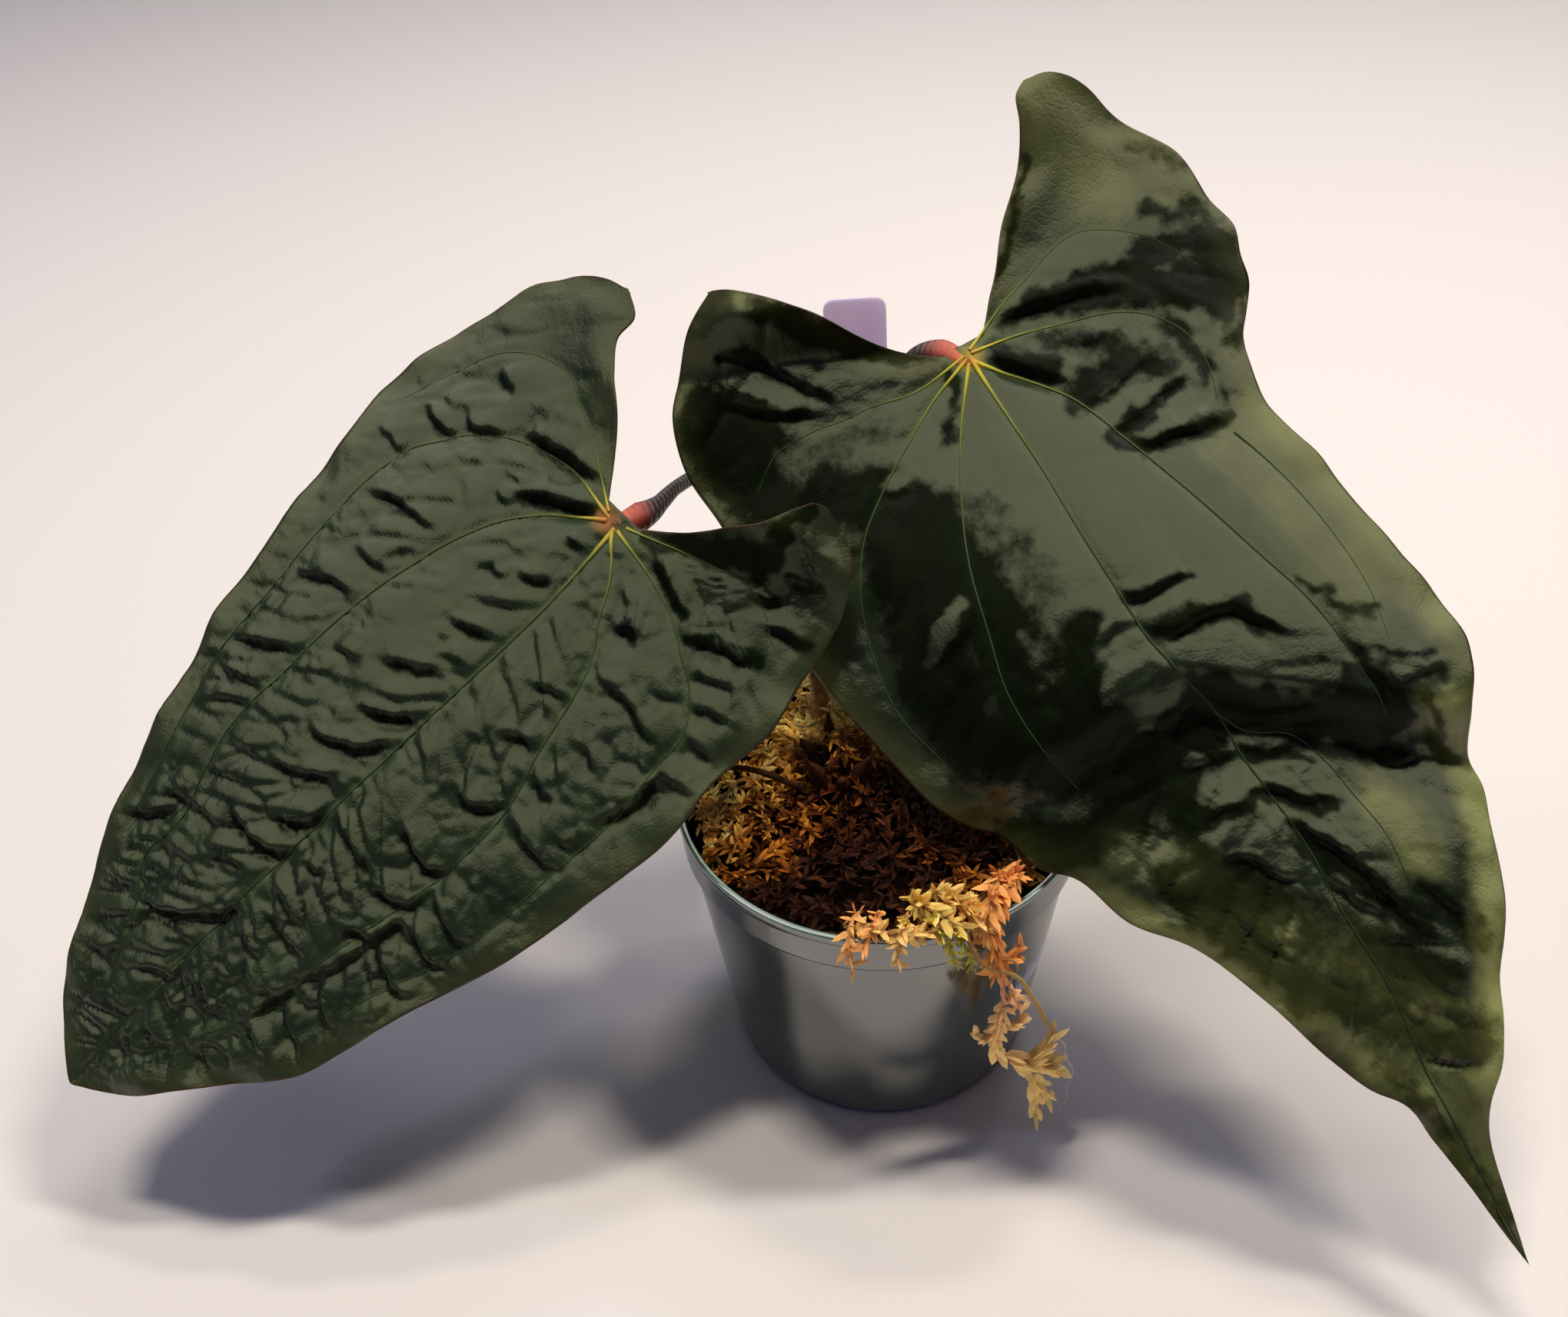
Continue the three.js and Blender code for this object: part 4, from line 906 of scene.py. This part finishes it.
def add_copy(bm, source, place, tone=None):
    """Adds a placed copy of a leaf, strand or head to a bmesh, with a tone of its own where one is given."""
    copy = source.copy()
    copy.transform(place)
    if tone is not None:
        tones = [clamp(tone)] * len(copy.vertices)
        copy.attributes.new("tone", "FLOAT", "POINT").data.foreach_set("value", tones)
    bm.from_mesh(copy)
    bpy.data.meshes.remove(copy)


def strand_mesh(name, path, leaf, count, open_angle, seed, stem=0.45, grow=(1.0, 1.0)):
    """A stem along the path with leaves wound round it, each overlapping the next."""
    chance = random.Random(seed)
    line = line_through(path, FINE_STEP)
    bm = bmesh.new()
    for i in range(count):
        t = (i + 0.5) / count
        place = t * (len(line) - 1.001)
        k = int(place)
        at = line[k].lerp(line[k + 1], place - k)
        ahead = (line[k + 1] - line[k]).normalized()
        side = ahead.orthogonal().normalized()
        around = Matrix.Rotation(LEAF_TURN * i + chance.uniform(-0.4, 0.4), 4, ahead)
        lean = Matrix.Rotation(open_angle * chance.uniform(0.7, 1.3), 4, ahead.cross(side))
        size = mix(grow[0], grow[1], t) * chance.uniform(0.8, 1.2)
        basis = Matrix((ahead, side, ahead.cross(side))).transposed().to_4x4()
        add_copy(bm, leaf, Matrix.Translation(at) @ around @ lean.inverted() @ basis @ Matrix.Scale(size, 4))
    tip = bm.verts.layers.float.get("tip")
    rings = []
    for k in range(0, len(line), max(1, len(line) // 6)):
        ahead = (line[min(k + 1, len(line) - 1)] - line[max(k - 1, 0)]).normalized()
        turn = ahead.to_track_quat("Z", "Y").to_matrix().to_4x4()
        ring = bmesh.ops.create_circle(bm, segments=4, radius=stem, cap_ends=not rings,
                                       matrix=Matrix.Translation(line[k]) @ turn)["verts"]
        rings.append(ring)
    for pair in zip(rings, rings[1:]):
        edges = [e for ring in pair for e in {e for v in ring for e in v.link_edges if e.other_vert(v) in ring}]
        bmesh.ops.bridge_loops(bm, edges=edges)
    for vert in [v for ring in rings for v in ring]:
        vert[tip] = 0.1
    return mesh_from(bm, name)


def head_mesh(name, leaf, count, seed):
    """Star-shaped head of a strand: leaves fanned out over a half ball."""
    chance = random.Random(seed)
    bm = bmesh.new()
    for i in range(count):
        rise = math.radians(chance.uniform(0, 75))
        turn = LEAF_TURN * i + chance.uniform(-0.3, 0.3)
        add_copy(bm, leaf, Matrix.Rotation(turn, 4, "Z") @ Matrix.Rotation(-rise, 4, "Y")
                 @ Matrix.Scale(chance.uniform(0.75, 1.2), 4))
    return mesh_from(bm, name)


def moss_leaves(name, stops, root_shade, tip_shade, stain):
    """Dried sphagnum: thin, papery and a little translucent, each leaf darker at its root as painted shade and
    lighter at its tip as painted light, the tip scale able to pass one.
    """
    material, add, shader = new_material(name, Roughness=0.8, Specular_IOR_Level=0.15, Subsurface_Weight=0.15,
                                          Subsurface_Radius=(1.0, 0.5, 0.2), Subsurface_Scale=0.001)
    tone, tip = (add("Attribute", attribute_name=key) for key in ("tone", "tip"))
    tint = add("ValToRGB", Fac=tone, stops=stops)
    # painted shade at each leaf's root and painted light at its tip
    shade = add("MapRange", Value=tip, span=(0.0, 0.8, root_shade, tip_shade))
    scaled = add("VectorMath", operation="SCALE", in_0=tint, Scale=shade)
    cloud = add("TexNoise", Vector=add("TexCoord"), Scale=400.0, Detail=3.0)
    mottled = add("Mix", blend_type="MULTIPLY", Factor=cloud, in_6=scaled, in_7=stain)
    feed(shader, Base_Color=mottled)
    return material


chance = random.Random(11)
small_leaf = moss_leaf("moss_leaf_small", 2.8, 0.95, 0.4, 0.22)
broad_leaf = moss_leaf("moss_leaf_broad", 3.4, 1.3, 0.5, 0.25)
long_leaf = moss_leaf("moss_leaf_long", 6.0, 2.5, 0.9, 0.14)
plump_leaf = moss_leaf("moss_leaf_plump", 4.0, 2.0, 0.8, 0.22)
strands = []
for i in range(8):
    reach = 9 + 1.2 * (i % 4)
    path = [(-reach / 2, 0, 0), (-reach / 6, chance.uniform(-1.5, 1.5), chance.uniform(0.5, 2)),
            (reach / 6, chance.uniform(-2, 2), chance.uniform(0.5, 2.5)), (reach / 2, chance.uniform(-2, 2), 0)]
    strands.append(strand_mesh("strand_%d" % i, path, small_leaf if i % 2 else broad_leaf, 16, 0.6, i))
heads = [head_mesh("head_%d" % i, small_leaf if i % 2 else broad_leaf, 11, 40 + i) for i in range(4)]
bed = bmesh.new()
for i in range(BED_STRANDS + CROWN_STRANDS):
    if i < BED_STRANDS:
        reach = BED_REACH * math.sqrt((i + 0.5) / BED_STRANDS)
        x, y = reach * math.cos(GOLDEN_ANGLE * i), reach * math.sin(GOLDEN_ANGLE * i)
        lift = bed_height(x, y) + chance.uniform(-2.5, 1.0)
    else:
        x, y = chance.uniform(-23, 4), chance.uniform(-7, 13)
        lift = bed_height(x, y) + chance.uniform(0.0, 1.0) * clamp(11 - 0.9 * abs(x + 9), 1, 11)
    source = chance.choice(strands) if chance.random() < STRAND_SHARE else chance.choice(heads)
    tilt = Matrix.Rotation(chance.uniform(-0.5, 0.5), 4, "X") @ Matrix.Rotation(chance.uniform(-0.5, 0.5), 4, "Y")
    # the front hollow gets fewer strands and a lower tone, the lower tone being painted shade
    hollow = mound(x, y, -14, -33, 24, 12)
    if chance.random() < 0.15 * hollow:
        continue
    # golden: tone raised in patches, partly the moss's own golden colour and partly painted light
    golden = max(ramp(-14, -36, x) * (0.4 * ramp(-32, -14, y) + 0.6 * ramp(-9, 3, y)),
                 ramp(-6, 14, y) * ramp(22, 2, x), 0.55 * ramp(24, 40, x))
    # the tone is lowered as painted shade in the front hollow and in front of the crown
    tone = (0.33 + 0.3 * drift(x, y, 9, 5) + chance.uniform(-0.2, 0.2) - 0.5 * hollow
            - 0.35 * mound(x, y, 1, -14, 20, 14) + 0.65 * golden)
    place = (Matrix.Translation((x, y, lift)) @ Matrix.Rotation(chance.uniform(0, 6.28), 4, "Z") @ tilt
             @ Matrix.Scale(chance.uniform(0.8, 1.15), 4))
    add_copy(bed, source, place, tone)
for vert in bed.verts:
    reach = math.hypot(vert.co.x, vert.co.y)
    inside_wall = RIM_RADIUS - WALL - 1.0 - WALL_TAPER * max(0, POT_HEIGHT - vert.co.z)
    if reach > inside_wall and vert.co.z < POT_HEIGHT + 0.5:
        vert.co.xy *= inside_wall / reach
bed_leaves = moss_leaves(
    "sphagnum, dried",
    [(0.0, "#2a1206"), (0.25, "#6a380e"), (0.5, "#b87224"), (0.75, "#f8c258"), (1.0, "#ffe690")],
    0.55, 1.7, "#dccab0")
finish_piece("moss_bed", mesh_from(bed, "moss_bed", False, MM), "moss", [bed_leaves], "sphagnum_moss")

# The packed moss under the strands, near black: partly its own dark brown, partly painted shade for
# the deep gaps between the strands.
CORE_TOP = 80
core = turned([(0, 3), (BASE_RADIUS - WALL - 1, 3), (WALL_AT_BAND - WALL - 0.8, BAND_BOTTOM - 1), (46.3, 76.5),
               (44, 78), *((radius, CORE_TOP) for radius in (38, 32, 26, 20, 14, 8, 0))], TURN_STEPS // 2)
bmesh.ops.subdivide_edges(core, edges=[e for e in core.edges if min(v.co.z for v in e.verts) > 77], cuts=1,
                          use_grid_fill=True)
for vert in core.verts:
    if vert.co.z > 77:
        vert.co.z = bed_height(vert.co.x, vert.co.y) - CORE_DEPTH
# near-black colour: the packed moss's own dark brown and painted shade in the gaps
core_brown_and_painted_shade = clouded("moss core, dark and fibrous", 350.0, 6.0, (0.35, "#0c0502"), (0.7, "#2c160a"), 0.8, 0.0015,
               Roughness=0.9, Specular_IOR_Level=0.05)
finish_piece("moss_core", mesh_from(core, "moss_core", True, MM), "moss", [core_brown_and_painted_shade])

# Brighter strands that have dried over the front of the rim
spill = bmesh.new()
for path, leaf, count, grow, tone in (
        ("-8,-40,82 -10.5,-47,87 -11.8,-52,85.5 -10.6,-53,78", long_leaf, 18, (0.6, 0.65), 0.35),
        ("-4,-42,84 -6,-49,87.5 -8.5,-53,84", plump_leaf, 17, (0.9, 0.9), 0.3),
        ("-12,-46,84.5 -5,-50,87 2,-51.5,87 8,-51,87", plump_leaf, 31, (0.8, 1.0), 0.62),
        ("1,-44,84 1,-50,88 -1,-53.5,85 -0.5,-54,80", plump_leaf, 17, (0.9, 0.8), 0.55),
        ("3,-40,86 6,-46,90 10,-50,90 14,-51,87", plump_leaf, 31, (1.0, 1.1), 0.7),
        ("8,-39,86 11,-44,91 15,-47,90 18,-49,86", plump_leaf, 28, (1.0, 1.1), 0.66),
        ("6,-46,87 9,-52,87 11.5,-53.5,82 12,-52.5,77", small_leaf, 25, (1.0, 0.9), 0.95),
        ("10,-48,87 13,-52.5,85 15.5,-52.2,79 16.2,-50.6,73.5", small_leaf, 28, (1.0, 0.9), 1.0),
        ("12,-44,88 17,-49,88 20,-50.5,84", plump_leaf, 20, (1.0, 1.0), 0.6),
        ("24,-33,84 24,-39,90 21,-45,91.5 19.5,-49.5,89 20.5,-51,82", long_leaf, 31, (0.9, 0.9), 0.3),
        ("28,-34,85 27,-40,90 23,-46,90 20.5,-50,86", plump_leaf, 25, (1.1, 1.0), 0.22),
        ("20.5,-50.5,86 20.8,-52,80 22,-51.5,74 21.5,-50.5,70", long_leaf, 22, (0.9, 0.8), 0.28),
        ("21,-50.5,76 25,-50,74.5 28,-47.5,76", plump_leaf, 13, (0.9, 0.8), 0.2)):
    made = strand_mesh("spill", points(path), leaf, count, 0.8, len(spill.verts), 0.5, grow)
    add_copy(spill, made, Matrix.Identity(4), tone)
for turn, (x, y, z, size, tone) in enumerate((
        (5, -44, 88, 1.1, 0.72), (10, -46, 91, 1.25, 0.66), (14, -47, 90, 1.2, 0.62), (17.5, -46.5, 88, 1.2, 0.7),
        (8, -50, 88.5, 1.1, 0.85), (2, -49, 87.5, 1.0, 0.8), (12, -51, 87, 1.0, 0.75), (25, -40, 90.5, 1.1, 0.25),
        (20, -46, 91, 1.0, 0.3))):
    lay = (Matrix.Translation((x, y, z)) @ Matrix.Rotation(turn, 4, "Z") @ Matrix.Rotation(0.7, 4, "X")
           @ Matrix.Scale(size, 4))
    add_copy(spill, heads[turn % 4], lay, tone)
spill_leaves = moss_leaves(
    "sphagnum, bright dry tips",
    [(0.0, "#e4843e"), (0.3, "#f8b066"), (0.6, "#fdd080"), (0.82, "#ecd868"), (1.0, "#c2c44c")],
    0.7, 1.15, "#ecdfcc")
finish_piece("moss_spill", mesh_from(spill, "moss_spill", False, MM), "moss", [spill_leaves])

# The piece that hangs down the wall, paler towards its end
hanging = bmesh.new()
for path, leaf, count, open_angle, grow, tone in (
        ("21.5,-50.5,73 23.5,-50.2,66 24.6,-49.8,58", plump_leaf, 8, 0.3, (0.7, 0.7), 0.1),
        ("22.8,-50.5,70 26,-50.5,64 25,-50,58", plump_leaf, 6, 0.3, (0.6, 0.6), 0.1),
        ("25,-50.5,62 27.5,-49.5,60 28,-49,56", plump_leaf, 13, 0.6, (0.9, 0.9), 0.3),
        ("24.6,-50,59 24,-50.5,53 23.2,-50.3,47", plump_leaf, 21, 0.7, (1.0, 1.1), 0.45),
        ("23.6,-50.8,50 19.5,-52,48 18,-52,50", plump_leaf, 10, 0.4, (0.8, 0.8), 0.5),
        ("24.2,-50.5,51 28,-50.5,51 29.5,-49,54", plump_leaf, 10, 0.4, (0.9, 0.9), 0.5),
        ("23.2,-50.3,47 23.8,-50,40 28.5,-49.5,35 31,-48.5,31", long_leaf, 24, 0.35, (1.1, 1.1), 0.55),
        ("31,-48.5,31 35,-47.5,34 38,-46,38", long_leaf, 11, 0.35, (0.9, 0.9), 0.6),
        ("31,-48.5,31 36,-47.5,29 39.5,-46,26", long_leaf, 14, 0.35, (1.0, 1.2), 0.62),
        ("31,-48.5,31 34,-48.5,24 35.2,-48.5,14 35.5,-48.8,10", long_leaf, 18, 0.22, (1.1, 1.2), 0.62),
        ("33,-48.3,26 37,-48,19 38.6,-47.8,14", long_leaf, 11, 0.25, (1.2, 1.2), 0.68)):
    made = strand_mesh("hanging", points(path), leaf, count, open_angle, len(hanging.verts), 0.55, grow)
    add_copy(hanging, made, Matrix.Identity(4), tone)
hang_leaves = moss_leaves(
    "sphagnum, hanging strand", [(0.0, "#e8a486"), (0.3, "#fcc894"), (0.6, "#ffdf94"), (1.0, "#ffe8a4")],
    0.85, 1.4, "#fff4e4")
finish_piece("moss_hanging", mesh_from(hanging, "moss_hanging", False, MM), "moss", [hang_leaves])


# --------------------------------------
# Crown: short stub of the stem with dry brown sheaths that once wrapped the young stalks, and the
# thin dry stalk that lies beside it on the moss.
# --------------------------------------
SHEATHS = ((-13, -4, -18, -9, 101, 2.3), (-7, -4, -3, -8, 99, 2.2), (-11, 1, -12, 5, 103, 2.2),
           (-14, 0, -19, 3, 97, 1.8), (-9, -6, -10, -12, 96, 1.6))
bark = clouded("dry stem, dark brown", 500.0, 5.0, (0.3, "#1c0e06"), (0.75, "#543014"), 0.6, 0.0006,
               Roughness=0.95, Specular_IOR_Level=0.1)
crown_lines = [with_radii(points("-10,-1,76 -10.5,-2,86 -11.5,-4,95"), [5.3, 5.8, 5.0, 3.2, 1.0], FINE_STEP)]
for x, y, tip_x, tip_y, tip_z, wide in SHEATHS:
    path = [(x, y, 84), ((x + tip_x) / 2, (y + tip_y) / 2, 93), (tip_x, tip_y, tip_z)]
    crown_lines.append(with_radii(path, [wide, wide, 0.8 * wide, 0.25], FINE_STEP))
crown_mesh = tube_mesh("crown_stub", crown_lines, 14)
for vert in crown_mesh.vertices:
    vert.co += vert.normal * 0.0007 * noise.noise(vert.co * 320)
finish_piece("crown_stub", crown_mesh, "dry_stem", [bark], "crown")
dry = with_radii(points("-40,1,91 -31,-3,93 -23.5,-7,92.5 -18,-9,90"), [0.6, 0.75, 0.8, 0.85], FINE_STEP)
finish_piece("dry_stalk", tube_mesh("dry_stalk", [dry], 10), "dry_stem", [bark], "dead_stalk")


# --------------------------------------
# Plant tag: die-cut strip of lilac plastic with a point and rounded top corners, pushed into the
# moss behind the plant.
# --------------------------------------
TAG_WIDTH, TAG_THICK, TAG_LENGTH, TAG_LEAN, TAG_FOOT = 15.5, 1.0, 129.0, 15.0, (0.5, 36, 56)
TAG_POINT, TAG_CORNER = 12, 2.6
bm = bmesh.new()
half = TAG_WIDTH / 2
outline = [(0, 0), (half, TAG_POINT)]
for x, start in ((half - TAG_CORNER, 0), (TAG_CORNER - half, 90)):
    for k in range(5):
        turn = math.radians(start + 22.5 * k)
        outline.append((x + TAG_CORNER * math.cos(turn), TAG_LENGTH - TAG_CORNER + TAG_CORNER * math.sin(turn)))
outline.append((-half, TAG_POINT))
sheet = bm.faces.new([bm.verts.new((x, -TAG_THICK / 2, z)) for x, z in outline])
raised = bmesh.ops.extrude_face_region(bm, geom=[sheet])["geom"]
bmesh.ops.translate(bm, vec=(0, TAG_THICK, 0), verts=[v for v in raised if isinstance(v, bmesh.types.BMVert)])
bmesh.ops.recalc_face_normals(bm, faces=bm.faces)
bmesh.ops.bevel(bm, geom=bm.edges[:], offset=0.2, segments=2, profile=0.5, affect="EDGES", material=-1)
bmesh.ops.rotate(bm, verts=bm.verts, matrix=Matrix.Rotation(math.radians(-TAG_LEAN), 3, "X"))
bmesh.ops.translate(bm, vec=TAG_FOOT, verts=bm.verts)
strip = clouded("tag plastic, lilac matt", 90.0, 4.0, (0.3, "#e2c4ec"), (0.75, "#ecd2f2"), Roughness=0.5,
                Subsurface_Weight=0.8, Subsurface_Radius=(1.0, 0.85, 0.95), Subsurface_Scale=0.004)
finish_piece("tag_strip", mesh_from(bm, "tag_strip", False, MM), "tag_plastic", [strip], "plant_tag")


# --------------------------------------
# Trailing root: wiry yellow-brown root that grew out of the moss over the rim and down the wall,
# ending in a pale hair.
# --------------------------------------
ROOT_TOP, ROOT_END = 0.085, 0.02
wiry, add, shader = new_material("root, dry and wiry", Roughness=0.55)
space = add("TexCoord")
height = add("SeparateXYZ", in_0=space)
fade = add("MapRange", Value=height.outputs["Z"], span=(ROOT_TOP, ROOT_END))
tint = add("ValToRGB", Fac=fade, stops=[(0.0, "#8a5a2c"), (0.3, "#b8963c"), (0.7, "#a8864c"),
                                                   (0.9, "#e6e4ee")])
fuzz = add("TexNoise", Vector=space, Scale=900.0)
bump = add("Bump", Height=fuzz, Strength=0.5, Distance=0.0002)
feed(shader, Base_Color=tint, Normal=bump)
root = with_radii(points("13,-42,85 14,-51,87 17,-54.5,80.5 25.5,-53.5,73 31,-50,60 36.5,-47,44.5 43,-42,28"),
                  [0.55, 0.55, 0.5, 0.6, 0.7, 0.65, 0.35], FINE_STEP)
hair = with_radii(points("42.6,-42.3,29 43.5,-43,24 45.5,-43.5,19 44,-44.5,14 44.5,-45,9 42.5,-46,5"
                         " 43.5,-47,1.5 43,-47.5,0.3"), [0.3, 0.16, 0.13, 0.12, 0.1], 0.7)
loop = with_radii(points("21.5,-51.5,75 24.5,-52.2,77 26.5,-51.6,73.5 25,-51.5,68 26,-51,62"),
                  [0.3, 0.3, 0.28, 0.3], 0.6)
finish_piece("wiry_root", tube_mesh("wiry_root", [root, hair, loop], 8), "root", [wiry], "trailing_root")


# --------------------------------------
# Studio: pale seamless floor under a row of long ceiling lamps, which give the shadows one crisp
# and one soft side. A broad ceiling panel is there for the sheen alone.
# --------------------------------------
# name, place, width, depth, power, colour, and whether it gives the shading or the sheen
LAMPS = (("lamp_near", (0.62, 0.09, 1.5), 0.36, 0.1, 12.8, "#fffaf0", "shading"),
         ("lamp_middle", (-0.25, 0.12, 1.5), 0.3, 0.1, 9.6, "#fffaf0", "shading"),
         ("lamp_left", (-1.85, 0.12, 1.5), 0.4, 0.15, 9.0, "#c6d2ff", "shading"),
         ("lamp_back", (0.42, 0.84, 1.5), 0.4, 0.14, 3.6, "#e6e8ff", "shading"),
         ("lamp_centre", (0.12, 0.48, 1.5), 0.3, 0.1, 4.5, "#fffaf4", "shading"),
         ("ceiling", (0.3, 1.6, 1.6), 4.8, 5.4, 161.0, "#fff8ee", "sheen"))
for name, place, width, depth, power, tint, gives in LAMPS:
    data = bpy.data.lights.new(name, "AREA")
    data.shape = "RECTANGLE"
    data.size, data.size_y, data.energy, data.color = width, depth, power, linear(tint)[:3]
    lamp = add_object(name, data)
    lamp.location = place
    lamp.visible_diffuse = gives == "shading"
    lamp.visible_glossy = gives == "sheen"

bm = bmesh.new()
bmesh.ops.create_grid(bm, x_segments=1, y_segments=1, size=4)
floor = add_object("floor", mesh_from(bm, "floor"))
floor.data.materials.append(new_material("floor, pale matt paper", Base_Color="#e9e0d8", Roughness=0.7)[0])
floor.location.z = -0.0002

world = bpy.data.worlds.new("studio")
world.use_nodes = True
feed(world.node_tree.nodes["Background"], Color="#5a74ff", Strength=0.06)
bpy.context.scene.world = world
bpy.context.scene.view_settings.view_transform = "Standard"
